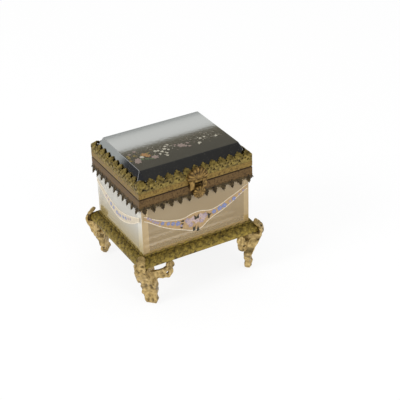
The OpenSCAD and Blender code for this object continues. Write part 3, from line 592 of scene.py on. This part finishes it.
def apron(side, hw, hd, teeth):
    top = sizes("body_rim")[1][2] - 0.1
    low = top + 0.1 - 7
    step = 2 * hw / teeth
    w = step / 2
    edge = [(-w, 0.6), (-w, -1.3), (-w * 0.86, -2.5), (-w * 0.72, -1.4), (-w * 0.52, -1.6),
            (-w * 0.6, -2.6), (-w * 0.4, -3.2), (-w * 0.34, -4.4), (-w * 0.12, -4.8), (0, -5.7)]
    outer = edge + [(-x, y) for x, y in reversed(edge[:-1])]
    oval = [(0.75 * math.cos(t), -0.1 + 1.15 * math.sin(t))
            for t in np.linspace(0, 2 * math.pi, 13)[:-1]]
    tooth = stood_up(outline_mesh("tooth", [outer], 0.5, 0.12), -hd + 0.3, low, 0.0, 20, True)
    boss = outline_mesh("tooth_boss", [oval], 0.7, 0.3)
    rib = outline_mesh("tooth_rib", [[(x, -y - 1.2) for x, y in leaf_line(0.9, 3.8)]], 0.8, 0.25)
    boss = stood_up(boss, -hd + 0.1, low, 0.0, 20, True)
    rib = stood_up(rib, -hd + 0.15, low, 0.0, 20, True)
    # one tooth more at each end, so that the flared corners are whole
    strip = row_of(joined("tooth_unit", [tooth, boss, rib]), teeth + 2, step, "apron_brass")
    line = np.array([(-0.35, 6.9), (-0.3, 6.5), (-0.02, 6.1), (0.0, 5.7), (0.0, 0.7), (0.18, 0.5),
                     (0.18, 0.15), (0.0, 0.0)])
    u = np.linspace(-1, 1, 160)[:, None]
    band = np.stack([u * (hw + line[None, :, 0]), np.broadcast_to(-hd - line[None, :, 0], (160, 8)),
                     np.broadcast_to(low + line[None, :, 1], (160, 8))], -1)
    # Darker along the top under the lid rail and a little at the bottom edge: painted shade, carried by the
    # hollow attribute.
    painted_shade = np.broadcast_to(np.array([1, 1, 0.8, 0.1, 0, 0, 0, 0.3]), (160, 8))
    band = sheet_mesh("band", band[:, ::-1], painted_shade[:, ::-1], 0.2)
    band.materials.append(RIM_BRASS)
    strip = cut_mitres(strip, hw, hd)
    strip.materials.clear()
    strip.materials.append(FINISH["apron_brass"])
    strip = merged("apron", [strip, band])
    if side == "rear":
        strip = with_gap(strip, -23.3, 23.3, 79.2)
    return piece("apron_teeth_" + side, turned(strip, side), "root", "apron_brass",
                 ["apron_" + side])


def with_gap(mesh, left, right, bottom):
    """Leaves the hinge's place out of the rear apron."""
    bm = bmesh.new()
    bm.from_mesh(mesh)
    for co, no in (((left, 0, 0), (1, 0, 0)), ((right, 0, 0), (1, 0, 0)), ((0, 0, bottom), (0, 0, 1))):
        bmesh.ops.bisect_plane(bm, geom=bm.verts[:] + bm.edges[:] + bm.faces[:],
                               plane_co=Vector(co) * MM, plane_no=no)
    gone = [f for f in bm.faces if left * MM < f.calc_center_median().x < right * MM
            and f.calc_center_median().z > bottom * MM]
    bmesh.ops.delete(bm, geom=gone, context="FACES")
    bmesh.ops.holes_fill(bm, edges=[e for e in bm.edges if e.is_boundary])
    bm.to_mesh(mesh)
    bm.free()
    return mesh


for side, hw, hd, teeth in (("front", rail_hw, rail_hd, 13), ("rear", rail_hw, rail_hd, 13),
                            ("left", rail_hd, rail_hw, 11), ("right", rail_hd, rail_hw, 11)):
    apron(side, hw, hd, teeth)


# Feet: the castings, with carved leaf veins

def remeshed(node, voxel, rounds):
    """The node's solid as one even skin, rounded as a casting is."""
    bm = bmesh.new()
    bm.from_mesh(frame["nodes"][node].data)
    bmesh.ops.remove_doubles(bm, verts=bm.verts, dist=1e-6)
    mesh = bpy.data.meshes.new(node + "_skin")
    bm.to_mesh(mesh)
    bm.free()
    obj = bpy.data.objects.new(node + "_skin", mesh)
    bpy.context.scene.collection.objects.link(obj)
    skin = obj.modifiers.new("skin", "REMESH")
    skin.mode = "VOXEL"
    skin.voxel_size = voxel * MM
    soft = obj.modifiers.new("soft", "SMOOTH")
    soft.factor, soft.iterations = 0.5, rounds
    mesh = baked(obj)
    mesh.materials.clear()
    return mesh


def arrays(mesh):
    n = len(mesh.vertices)
    co, no = np.zeros(n * 3), np.zeros(n * 3)
    mesh.vertices.foreach_get("co", co)
    mesh.vertices.foreach_get("normal", no)
    return co.reshape(-1, 3) / MM, no.reshape(-1, 3)


def foot(front, left):
    node = "foot_" + front + "_" + left
    mesh = remeshed(node, 0.38, 3)
    co, no = arrays(mesh)
    sx, sy = (-1 if left == "left" else 1), (-1 if front == "front" else 1)
    s = (-sx * co[:, 0] + sy * co[:, 1]) / math.sqrt(2)
    z = co[:, 2]
    s = s - s[z < 20].mean()
    leg = (0.36 * np.cos(2 * np.pi * s / (3.2 + 0.04 * z)) * (0.55 + 0.45 * np.sin(0.38 * z + 0.6))
           + 0.2 * np.sin(0.95 * z + 0.9 * np.abs(s)) + 0.4 * np.exp(-((z - 25) / 3.2) ** 2)
           + 0.3 * np.exp(-((z - 8.5) / 2.2) ** 2) - 0.2 * np.exp(-((z - 16) / 3.5) ** 2))
    x = np.abs(co[:, 0])
    wing = 0.2 * np.cos(2 * np.pi * (x / 3.4 + 0.3 * np.sin(z / 2.6)))
    share = np.clip((np.abs(no[:, 1]) - 0.8) / 0.15, 0, 1) * (z > 16)
    relief = leg * (1 - share) + wing * share
    still = np.clip((z - 0.4) / 0.8, 0, 1) * np.clip((34.6 - z) / 0.6 + (z > 36) * 5, 0, 1)
    relief = (relief - 0.16) * still + 0.55 * np.clip((z - 36.5) / 2, 0, 1)
    co = co + no * relief[:, None]
    mesh.vertices.foreach_set("co", (co * MM).reshape(-1))
    # Darker where the relief sinks in: painted shade in the carved hollows.
    mesh.attributes.new("hollow", "FLOAT", "POINT").data.foreach_set(
        "value", np.clip(-1.2 * relief - 0.15, 0, 0.6).astype(np.float32))
    mesh.update()
    piece("cast_" + node, mesh, "root", "foot_gilt", [node])


for front in ("front", "rear"):
    for left in ("left", "right"):
        foot(front, left)


# Clasp: a fluted fan over the boss and a fluted shell on the pull

def shell(name, body, centre, radius, start, end, flutes, rise, thick):
    """A fluted shell that faces forward, with its rays from the centre."""
    nr, nt = 22, flutes * 12 + 1
    r = np.linspace(0.02, 1, nr)[None, :]
    t = np.linspace(start, end, nt)[:, None]
    turn = (t - start) / (end - start) * flutes
    ray = np.abs(np.cos(np.pi * (turn - 0.5)))
    full = radius * (0.9 + 0.1 * ray)
    out = rise * (1 - r ** 2) ** 0.6 + 0.5 * (ray - 0.5) * r * (1 - 0.3 * r)
    a = np.radians(t)
    points = np.stack([centre[0] + full * r * np.cos(a), centre[1] - out, centre[2] + full * r * np.sin(a)], -1)
    # Darker in the valleys between the flutes: painted shade.
    hollow = np.broadcast_to((1 - ray) * 0.8 * r, out.shape)
    return piece(name, sheet_mesh(name, points[:, ::-1], hollow[:, ::-1], thick), body,
                 "shell_brass", [])


pull_low = sizes("hasp_pull")[0]
shell("shell_fan", "lid", (0, -39.55, 89.5), 8.4, 0, 180, 9, 0.7, 0.5)
shell("pull_shell", "hasp", (0, pull_low[1] + 0.6, 79.6), 4.6, 0, 360, 11, 1.0, 0.5)


# Silk pad: a stuffed cushion with buttoned dimples

def silk_pad():
    low, high = sizes("silk_pad")
    nu, nv = 150, 120
    u, v = np.linspace(-1, 1, nu)[:, None], np.linspace(-1, 1, nv)[None, :]
    hw, hd, h = high[0] - 0.1, high[1] - 0.1, high[2] - low[2]
    across, deep = 4, 3
    a, b = (u + 1) / 2 * across - 0.5, (v + 1) / 2 * deep - 0.5
    da, db = a - np.round(a), b - np.round(b)
    far = np.hypot(da, db)
    dip = 0.36 * np.exp(-far ** 2 * 16)
    pleat = np.exp(-((np.abs(da) - np.abs(db)) / 0.06) ** 2) * np.exp(-(far / 0.62) ** 4)
    folds = 0.13 * pleat
    crown = np.sqrt(np.clip(1 - np.abs(u) ** 7, 0, 1)) * np.sqrt(np.clip(1 - np.abs(v) ** 7, 0, 1))
    rim = 1 - np.maximum(np.abs(u), np.abs(v)) ** 8
    top = h * np.clip(0.3 + 0.68 * crown - (dip + folds) * rim, 0.1, 0.985)
    x = u * (hw - 0.9 * (1 - v ** 2)) + 0 * v
    y = v * (hd - 0.9 * (1 - u ** 2)) + 0 * u
    grid = np.stack([x, y, low[2] + top], -1)
    flat = grid.copy()
    flat[..., 2] = low[2]
    at = np.arange(nu * nv).reshape(nu, nv)
    q = np.stack([at[:-1, :-1], at[1:, :-1], at[1:, 1:], at[:-1, 1:]], -1).reshape(-1, 4)
    n = nu * nv
    ring = np.concatenate([at[:, 0], at[-1, 1:], at[-2::-1, -1], at[0, -2:0:-1]])
    after = np.roll(ring, -1)
    wall = np.stack([ring, ring + n, after + n, after], -1)
    shaded = np.clip(0.85 * np.exp(-far ** 2 * 22) + 0.6 * pleat, 0, 0.9) * rim
    mesh = bpy.data.meshes.new("pad")
    mesh.from_pydata((np.concatenate([grid.reshape(-1, 3), flat.reshape(-1, 3)]) * MM).tolist(), [],
                     np.concatenate([q, q[:, ::-1] + n, wall]).tolist())
    bm = bmesh.new()
    bm.from_mesh(mesh)
    bmesh.ops.recalc_face_normals(bm, faces=bm.faces)
    bm.to_mesh(mesh)
    bm.free()
    both = np.concatenate([shaded.reshape(-1), np.zeros(nu * nv)]).astype(np.float32)
    mesh.attributes.new("hollow", "FLOAT", "POINT").data.foreach_set("value", both)
    piece("stuffed_pad", mesh, "root", "pad_silk", ["silk_pad"])
    bm = bmesh.new()
    for i in range(across):
        for j in range(deep):
            cu, cv = (i + 0.5) / across * 2 - 1, (j + 0.5) / deep * 2 - 1
            place = Matrix.Translation(Vector((cu * (hw - 0.9 * (1 - cv ** 2)), cv * (hd - 0.9 * (1 - cu ** 2)),
                                               low[2] + h * 0.62)) * MM)
            bmesh.ops.create_uvsphere(bm, u_segments=20, v_segments=10, radius=1.5 * MM,
                                      matrix=place @ Matrix.Diagonal((1, 1, 0.5, 1)))
    mesh = bpy.data.meshes.new("buttons")
    bm.to_mesh(mesh)
    bm.free()
    piece("tuft_buttons", mesh, "root", "pad_silk", None)


silk_pad()


# Lid glass with its arrises ground off

def lid_slab():
    bm = bmesh.new()
    bm.from_mesh(frame["nodes"]["lid_glass"].data)
    bmesh.ops.remove_doubles(bm, verts=bm.verts, dist=1e-6)
    bmesh.ops.dissolve_limit(bm, angle_limit=0.01, verts=bm.verts, edges=bm.edges)
    bmesh.ops.bevel(bm, geom=bm.edges[:], offset=0.2 * MM, segments=2, affect="EDGES", profile=0.5)
    mesh = bpy.data.meshes.new("lid_slab")
    bm.to_mesh(mesh)
    bm.free()
    mesh.materials.clear()
    piece("lid_slab", mesh, "lid", "dark_glass", ["lid_glass"], smooth=False)


lid_slab()


# Enamel: garlands on the panels and a spray of small flowers on the lid

def scatter_tree():
    """Geometry nodes: one pattern on every point, each with its own size and turn."""
    tree = bpy.data.node_groups.new("flowers_on_points", "GeometryNodeTree")
    face = tree.interface
    face.new_socket("Geometry", in_out="OUTPUT", socket_type="NodeSocketGeometry")
    for label, kind in (("Places", "Object"), ("Pattern", "Object"), ("Smallest", "Float"),
                        ("Largest", "Float"), ("Turn", "Vector"), ("Seed", "Int"),
                        ("Finish", "Material")):
        face.new_socket(label, in_out="INPUT", socket_type="NodeSocket" + kind)
    n, links = tree.nodes, tree.links
    given, out = n.new("NodeGroupInput"), n.new("NodeGroupOutput")
    places, info = n.new("GeometryNodeObjectInfo"), n.new("GeometryNodeObjectInfo")
    put = n.new("GeometryNodeInstanceOnPoints")
    turn, size = n.new("FunctionNodeRandomValue"), n.new("FunctionNodeRandomValue")
    turn.data_type, size.data_type = "FLOAT_VECTOR", "FLOAT"
    real, finish = n.new("GeometryNodeRealizeInstances"), n.new("GeometryNodeSetMaterial")
    links.new(given.outputs["Places"], places.inputs["Object"])
    links.new(given.outputs["Pattern"], info.inputs["Object"])
    turn.inputs[0].default_value = (0, 0, 0)
    links.new(given.outputs["Turn"], turn.inputs[1])
    links.new(given.outputs["Smallest"], size.inputs[2])
    links.new(given.outputs["Largest"], size.inputs[3])
    for random in (turn, size):
        links.new(given.outputs["Seed"], random.inputs["Seed"])
    links.new(places.outputs["Geometry"], put.inputs["Points"])
    links.new(info.outputs["Geometry"], put.inputs["Instance"])
    links.new(turn.outputs[0], put.inputs["Rotation"])
    links.new(size.outputs[1], put.inputs["Scale"])
    links.new(put.outputs["Instances"], real.inputs["Geometry"])
    links.new(real.outputs["Geometry"], finish.inputs["Geometry"])
    links.new(given.outputs["Finish"], finish.inputs["Material"])
    links.new(finish.outputs["Geometry"], out.inputs["Geometry"])
    return tree


SCATTER = scatter_tree()


def flower_mesh(petals, radius, dome, upright):
    """A flat flower or leaf, slightly domed; upright ones face forward, the others face up."""
    if petals:
        t = np.linspace(0, 2 * math.pi, petals * 6 + 1)[:-1]
        r = radius * (0.62 + 0.38 * np.abs(np.cos(petals * t / 2)))
        rim = np.stack([r * np.cos(t), r * np.sin(t)], -1)
    else:
        rim = np.array([(x, y - radius) for x, y in leaf_line(radius * 0.9, 2 * radius, 6)])
    n = len(rim)
    points = [(0, 0, dome)] + [(x, y, 0.0) for x, y in rim]
    if upright:
        points = [(x, -z, y) for x, y, z in points]
    mesh = bpy.data.meshes.new("flower")
    mesh.from_pydata([tuple(c * MM for c in q) for q in points], [],
                     [(0, 1 + i, 1 + (i + 1) % n) for i in range(n)])
    return mesh


def scattered(places, pattern, sizes_of, turn, seed, colour):
    spots = bpy.data.meshes.new("spots")
    spots.from_pydata([tuple(c * MM for c in q) for q in places], [], [])
    objs = [bpy.data.objects.new(n, m) for n, m in
            (("spots", spots), ("pattern", pattern), ("flowers", bpy.data.meshes.new("flowers")))]
    for o in objs:
        bpy.context.scene.collection.objects.link(o)
    mod = objs[2].modifiers.new("scatter", "NODES")
    mod.node_group = SCATTER
    key = {s.name: s.identifier for s in SCATTER.interface.items_tree if s.in_out == "INPUT"}
    for label, value in (("Places", objs[0]), ("Pattern", objs[1]), ("Smallest", sizes_of[0]),
                         ("Largest", sizes_of[1]), ("Turn", turn), ("Seed", seed),
                         ("Finish", ENAMEL[colour])):
        mod[key[label]] = value
    mesh = baked(objs[2])
    for o in objs[:2]:
        bpy.data.objects.remove(o)
    return mesh


ENAMEL = {name: enamel("enamel_" + name, colour) for name, colour in (
    ("cream", tint(228, 214, 188)), ("ochre", tint(182, 150, 104)), ("blue", tint(122, 136, 184)),
    ("lilac", tint(166, 148, 158)), ("pink", tint(196, 172, 164)), ("olive", tint(52, 44, 22)),
    ("white", tint(186, 180, 162)), ("gold", tint(130, 112, 58)), ("orange", tint(158, 116, 64)),
    ("rose", tint(142, 124, 114)), ("leaf", tint(82, 98, 64)), ("faint", tint(116, 108, 92)), ("sand", tint(202, 188, 162)))}


def ribbon(top, bottom, y, colour):
    """A flat enamel band on the panel between two lines of (x, z)."""
    n = len(top)
    points = [(x, y, z) for x, z in top] + [(x, y, z) for x, z in bottom]
    mesh = bpy.data.meshes.new("ribbon")
    mesh.from_pydata([tuple(c * MM for c in q) for q in points], [],
                     [(i, n + i, n + i + 1, i + 1) for i in range(n - 1)])
    mesh.materials.append(ENAMEL[colour])
    return mesh


def outlined(line, y, wide, colour):
    """A thin painted line that follows (x, z) points."""
    d = np.gradient(np.array(line), axis=0)
    nrm = np.stack([-d[:, 1], d[:, 0]], -1)
    nrm /= np.linalg.norm(nrm, axis=1)[:, None]
    a, b = np.array(line) + nrm * wide / 2, np.array(line) - nrm * wide / 2
    return ribbon(a.tolist(), b.tolist(), y, colour)


def drape(upper, lower, n=110):
    """Upper and lower edge of a garland from a few (x, z) places along the panel."""
    x = np.linspace(upper[0][0], upper[-1][0], n)
    soften = np.ones(7) / 7
    up, low = (np.convolve(np.pad(np.interp(x, *zip(*line)), 3, mode="edge"), soften, "valid")
               for line in (upper, lower))
    return x, up, low


def flowers(places, y, size, colour, heart, seed):
    """Small upright flowers, each with its heart, at (x, z) places in front of y."""
    turn = (0.0, 2 * math.pi, 0.0)
    at = [(x, y - 0.02, z) for x, z in places]
    hearts = [(x, y - 0.06, z) for x, z in places]
    return [scattered(at, flower_mesh(5, size, 0.08, True), (0.88, 1.1), turn, seed, colour),
            scattered(hearts, flower_mesh(5, size * 0.36, 0.08, True), (0.8, 1.1), turn, seed, heart)]


def garland(side, upper, lower, blossoms, medallion, seed):
    face_y = sizes("glass_front")[0][1] if side in ("front", "rear") else sizes("glass_left")[0][0]
    x, up, low = drape(upper, lower)
    top, bottom = list(zip(x, up)), list(zip(x, low))
    meshes = [ribbon(top, bottom, face_y - 0.02, "ochre" if medallion else "sand"),
              outlined(top, face_y - 0.05, 0.6, "cream"), outlined(bottom, face_y - 0.05, 0.6, "cream")]
    for size, colour, places in blossoms:
        meshes += flowers(places, face_y - 0.07, size, colour, "lilac" if colour == "blue" else "blue",
                          seed)
    if medallion:
        for colour, heart, size, places in (
                ("lilac", "pink", 2.3, ((-8.0, 56.8), (-5.4, 52.6), (3.4, 53.2), (6.0, 56.6))),
                ("pink", "lilac", 2.5, ((-6.6, 55.0), (-3.6, 56.6), (2.6, 57.4), (4.8, 55.2), (-0.4, 54.4)))):
            meshes += flowers(places, face_y - 0.12, size, colour, heart, seed + 5)
        for a, b, lean, long in ((-12.2, 57.6, -80, 1.5), (-12.4, 55.4, -70, 1.3), (-13.2, 52.8, -62, 1.3),
                                 (-1.7, 57.6, -20, 2.1), (0.7, 57.8, 18, 2.0), (9.0, 56.6, -30, 2.0),
                                 (10.2, 56.0, 66, 1.7), (9.6, 54.6, 28, 1.4), (-3.2, 48.6, -20, 2.0),
                                 (-2.2, 49.4, 24, 1.6), (0.3, 47.8, 4, 2.1)):
            leaf = flower_mesh(0, long, 0.06, True)
            leaf.transform(Matrix.Translation(Vector((a, face_y - 0.2, b)) * MM)
                           @ Matrix.Rotation(math.radians(lean), 4, "Y"))
            leaf.materials.append(ENAMEL["olive"])
            meshes.append(leaf)
    mesh = turned(merged("garland", meshes), side)
    obj = bpy.data.objects.new("garland_" + side, mesh)
    bpy.context.scene.collection.objects.link(obj)
    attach(obj, "root")


LONG_UP = ((-41.5, 70.8), (-35, 66.4), (-30, 63.9), (-25, 61.9), (-20, 60.5), (-15, 59.6), (-11.5, 59.1),
           (-8, 60), (-4, 61.2), (0, 61.5), (4, 61.2), (8, 59.9), (11, 59.3), (15, 60), (20, 61.4),
           (25, 63.9), (30, 65.7), (35, 67.8), (41.5, 71.4))
LONG_LOW = ((-41.5, 67.2), (-35, 62.9), (-30, 59.2), (-25, 56.3), (-20, 53.7), (-15, 51.7), (-10, 49.6),
            (-5, 47.4), (0, 46.7), (3.5, 47.2), (6.5, 49.6), (9, 51.8), (12, 53.2), (15, 54.3), (20, 56),
            (25, 58.4), (30, 61), (35, 64.3), (41.5, 68))
LONG_BLOSSOMS = (
    (1.2, "lilac", ((-38.4, 68.2), (-36.4, 66.7), (-34.6, 64.8), (-32.8, 63.4), (-31.0, 62.3))),
    (1.6, "blue", ((-27.5, 60.8), (-23.0, 59.0), (-19.4, 57.8), (30.2, 62.6))),
    (2.0, "blue", ((-15.5, 56.7), (13.7, 57.2), (18.4, 58.4), (22.2, 59.5))),
    (1.1, "lilac", ((27.0, 61.3), (34.7, 64.9), (38.0, 67.0), (-12.9, 54.2))))
SHORT_UP = ((-34, 69), (-30, 67.2), (-25, 65.3), (-20, 63.3), (-15, 61.6), (-8, 59.8), (0, 58.6),
            (8, 59.8), (15, 61.6), (20, 63.3), (25, 65.3), (30, 67.2), (34, 69))
SHORT_LOW = ((-34, 66.2), (-30, 63.4), (-25, 60.1), (-20, 57.6), (-15, 55.3), (-8, 52.9), (0, 51.6),
             (8, 52.9), (15, 55.3), (20, 57.6), (25, 60.1), (30, 63.4), (34, 66.2))
SHORT_BLOSSOMS = ((1.5, "blue", ((-11.8, 57.6), (-7.6, 56.5), (-2.6, 55.2), (2.6, 55.2), (7.6, 56.5),
                                 (11.8, 57.6))),
                  (1.2, "lilac", ((-19.2, 60.5), (-15.8, 59.1), (0.0, 54.9), (15.8, 59.1), (19.2, 60.5))))
for side, seed in (("front", 11), ("rear", 23)):
    garland(side, LONG_UP, LONG_LOW, LONG_BLOSSOMS, True, seed)
for side, seed in (("left", 37), ("right", 41)):
    garland(side, SHORT_UP, SHORT_LOW, SHORT_BLOSSOMS, False, seed)


def lid_spray():
    """Painted flowers: large ones at the left, then white ones in clusters and faint sprigs between."""
    rng = np.random.default_rng(5)
    z = sizes("lid_glass")[1][2]
    meshes = []
    for layer, (colour, petals, size, places) in enumerate((
            ("leaf", 0, 2.3, ((-24, -17.5), (-31, -15), (-27, -15.6), (-20, -14.4))),
            ("gold", 0, 1.8, ((-37, -10), (-37.3, -13.6), (-36.4, -7.4), (-22.6, -9), (-31.6, -8.6))),
            ("orange", 6, 2.6, ((-26, -10), (-24.2, -12.6))), ("white", 6, 1.7, ((-28.8, -12.2),)),
            ("rose", 6, 2.6, ((-34, -17), (-32.8, -14.4), (-20.8, -16.8), (2.5, -11.6))),
            ("rose", 5, 1.3, ((-30, -2.8), (-1, -9), (5, -14), (7.2, -15.6), (8, -11), (-34.6, -4.8))),
            ("white", 5, 1.25, ((-17, -9.5), (-15, -10.2), (-13, -12.5), (-10, -10), (-8, -7),
                                (-8, -12.3), (-5.4, -5.8), (19, -9.5), (22.5, -9), (30.5, -12))),
            ("white", 0, 1.5, ((-11.5, -15.5), (-12.8, -18.7), (-16, -15.5), (14.6, -16))),
            ("white", 6, 1.6, ((15.5, -15),)),
            ("faint", 5, 1.0, ((21.5, -12), (27, -11.5), (28.5, -8), (33, -11.5), (25, -5), (17.5, -3.4),
                               (23, -2.6), (12, -8), (-19, -6), (11, -4.6))))):
        at = [(a, b, z + 0.02 + 0.012 * layer) for a, b in places]
        meshes.append(scattered(at, flower_mesh(petals, size, 0.03, False), (0.85, 1.15),
                                (0.0, 0.0, 2 * math.pi), 7 + layer, colour))
    for layer, (colour, count, size, middle, spread) in enumerate((
            ("faint", 70, 0.55, (-2, -6.6), (15, 1.9)), ("white", 34, 0.5, (-11, -10.5), (4.5, 3.2)),
            ("gold", 26, 0.6, (-28, -9), (5.5, 3.6)), ("faint", 40, 0.6, (24, -8.5), (6, 3.2)),
            ("rose", 22, 0.55, (6, -11), (5.5, 1.8)), ("white", 14, 0.5, (22, -9.5), (6, 2.6)))):
        a = np.clip(middle[0] + rng.normal(0, 1, count) * spread[0], -36.5, 35)
        b = np.clip(middle[1] + rng.normal(0, 1, count) * spread[1], -19.5, -2.6)
        at = [(p, q, z + 0.02 + 0.002 * layer) for p, q in zip(a, b)]
        meshes.append(scattered(at, flower_mesh(0, size, 0.03, False), (0.6, 1.2),
                                (0.0, 0.0, 2 * math.pi), 31 + layer, colour))
    mesh = merged("lid_spray", meshes)
    obj = bpy.data.objects.new("lid_spray", mesh)
    bpy.context.scene.collection.objects.link(obj)
    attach(obj, "lid")


lid_spray()

# Camera, floor and light

AZ, EL, ROLL = math.radians(-29.0), math.radians(30.8), math.radians(-1.7)
back = Vector((math.sin(AZ) * math.cos(EL), -math.cos(AZ) * math.cos(EL), math.sin(EL)))
right = Vector((math.cos(AZ), math.sin(AZ), 0))
up = back.cross(right)
across = right * math.cos(ROLL) + up * math.sin(ROLL)
upward = back.cross(across)
aim = Vector((0, 0, 35)) + right * 19.9 + up * 14.5
eye = (aim + back * 812) * MM
lens = bpy.data.cameras.new("camera")
lens.sensor_fit = "HORIZONTAL"
lens.sensor_width = 36
lens.lens = 36 * 1100 / 400
lens.clip_start = 0.01
camera = bpy.data.objects.new("camera", lens)
camera.matrix_world = Matrix((
    (across.x, upward.x, back.x, eye.x), (across.y, upward.y, back.y, eye.y),
    (across.z, upward.z, back.z, eye.z), (0, 0, 0, 1)))
bpy.context.scene.collection.objects.link(camera)
bpy.context.scene.camera = camera

floor_mesh = bpy.data.meshes.new("floor")
floor_mesh.from_pydata([(x, y, -0.00005) for x, y in ((-3, -3), (3, -3), (3, 3), (-3, 3))], [],
                       [(0, 1, 2, 3)])
floor = bpy.data.objects.new("floor", floor_mesh)
bpy.context.scene.collection.objects.link(floor)
floor_mat, nodes, links, shader = new_finish("floor_paper")
links.new(ramp(nodes, links, cloud(nodes, links, 6, 2), [(0.2, tint(253, 253, 253)), (0.8, tint(255, 255, 255))]),
          shader.inputs["Base Color"])
shader.inputs["Roughness"].default_value = 1.0
shader.inputs["Specular IOR Level"].default_value = 0.0
glow = nodes.new("ShaderNodeEmission")
glow.inputs["Color"].default_value = (1, 1, 1, 1)
share = nodes.new("ShaderNodeMath"); share.operation = "MULTIPLY"
floor_path = nodes.new("ShaderNodeLightPath")
direct = nodes.new("ShaderNodeMath")
direct.operation = "MAXIMUM"
links.new(floor_path.outputs["Is Camera Ray"], direct.inputs[0])
links.new(floor_path.outputs["Is Transmission Ray"], direct.inputs[1])
through = nodes.new("ShaderNodeMath")
through.operation = "MAXIMUM"
links.new(direct.outputs[0], through.inputs[0])
links.new(floor_path.outputs["Is Glossy Ray"], through.inputs[1])
links.new(through.outputs[0], share.inputs[0])
share.inputs[1].default_value = 0.85
floor_mix = nodes.new("ShaderNodeMixShader")
links.new(share.outputs[0], floor_mix.inputs[0])
links.new(shader.outputs[0], floor_mix.inputs[1])
links.new(glow.outputs[0], floor_mix.inputs[2])
links.new(floor_mix.outputs[0], nodes["Material Output"].inputs["Surface"])
floor_mesh.materials.append(floor_mat)

world = bpy.data.worlds.new("room")
bpy.context.scene.world = world
world.use_nodes = True
nodes, links = world.node_tree.nodes, world.node_tree.links
sky = nodes["Background"]
where = nodes.new("ShaderNodeTexCoord")
split = nodes.new("ShaderNodeSeparateXYZ")
links.new(where.outputs["Generated"], split.inputs[0])
flank = nodes.new("ShaderNodeMath"); flank.operation = "ABSOLUTE"
links.new(split.outputs["Y"], flank.inputs[0])
slope = nodes.new("ShaderNodeMath"); slope.operation = "MULTIPLY_ADD"
links.new(flank.outputs[0], slope.inputs[0])
slope.inputs[1].default_value = -0.586
links.new(split.outputs["Z"], slope.inputs[2])
lift = nodes.new("ShaderNodeMath"); lift.operation = "ADD"
links.new(slope.outputs[0], lift.inputs[0])
lift.inputs[1].default_value = 0.5


def step_at(value, start, end):
    """Rises from 0 to 1 between two values, sharper than a colour ramp can."""
    rise = nodes.new("ShaderNodeMapRange")
    rise.inputs["From Min"].default_value = start
    rise.inputs["From Max"].default_value = end
    links.new(value, rise.inputs["Value"])
    return rise.outputs["Result"]


def combined(kind, a, b):
    node = nodes.new("ShaderNodeMath")
    node.operation = kind
    links.new(a, node.inputs[0])
    links.new(b, node.inputs[1])
    return node.outputs[0]


flanks = combined("MAXIMUM", step_at(split.outputs["X"], -0.597, -0.604),
                  step_at(split.outputs["X"], 0.7, 0.78))
flanks = combined("MULTIPLY", flanks, step_at(split.outputs["Z"], 0.12, 0.05))
either = combined("MAXIMUM", flanks, step_at(lift.outputs[0], 0.4995, 0.5008))
low_sky = ramp(nodes, links, lift.outputs[0],
               [(0.12, (0.56, 0.59, 0.58, 1)), (0.2, (1, 1, 1, 1)), (0.43, (1, 1, 1, 1)),
                (0.46, (0.47, 0.5, 0.49, 1))])
daylight = blend_colour(nodes, links, step_at(lift.outputs[0], 0.4815, 0.4865), low_sky,
                        (0.95, 0.97, 0.94, 1))
room = ramp(nodes, links, lift.outputs[0],
            [(0.3, (0.05, 0.052, 0.058, 1)), (0.49, (0.05, 0.052, 0.058, 1)), (0.5, (0.2, 0.18, 0.125, 1)),
             (0.515, (0.14, 0.132, 0.106, 1)), (0.62, (0.1, 0.094, 0.08, 1)),
             (0.8, (0.04, 0.042, 0.048, 1)), (0.9, (0.02, 0.02, 0.02, 1)), (1.0, (0.06, 0.06, 0.06, 1))])
shade = blend_colour(nodes, links, either, daylight, room)
path = nodes.new("ShaderNodeLightPath")
links.new(blend_colour(nodes, links, path.outputs["Is Glossy Ray"], (0.82, 0.82, 0.82, 1), shade),
          sky.inputs["Color"])
white = nodes.new("ShaderNodeBackground")
white.inputs["Color"].default_value = (1, 1, 1, 1)
seen = nodes.new("ShaderNodeMath"); seen.operation = "MAXIMUM"
links.new(path.outputs["Is Camera Ray"], seen.inputs[0])
links.new(path.outputs["Is Transmission Ray"], seen.inputs[1])
inside = nodes.new("ShaderNodeMath"); inside.operation = "GREATER_THAN"
links.new(path.outputs["Transmission Depth"], inside.inputs[0])
inside.inputs[1].default_value = 0.5
open_air = nodes.new("ShaderNodeMath"); open_air.operation = "MAXIMUM"
links.new(seen.outputs[0], open_air.inputs[0])
links.new(inside.outputs[0], open_air.inputs[1])
pick = nodes.new("ShaderNodeMixShader")
links.new(open_air.outputs[0], pick.inputs[0])
links.new(sky.outputs[0], pick.inputs[1])
links.new(white.outputs[0], pick.inputs[2])
links.new(pick.outputs[0], nodes["World Output"].inputs["Surface"])


def lamp(name, place, size, power):
    light = bpy.data.lights.new(name, "AREA")
    light.size = size
    light.energy = power
    obj = bpy.data.objects.new(name, light)
    obj.location = place
    obj.rotation_euler = (Vector((0, 0, 0.05)) - Vector(place)).to_track_quat("-Z", "Y").to_euler()
    obj.visible_glossy = False  # so that the lid does not mirror a lamp's edge
    bpy.context.scene.collection.objects.link(obj)


lamp("key", (-1.0, -0.05, 0.75), 0.35, 5.0)
lamp("fill", (0.12, -1.05, 0.65), 0.35, 2.2)


bpy.context.scene.view_settings.view_transform = "Standard"
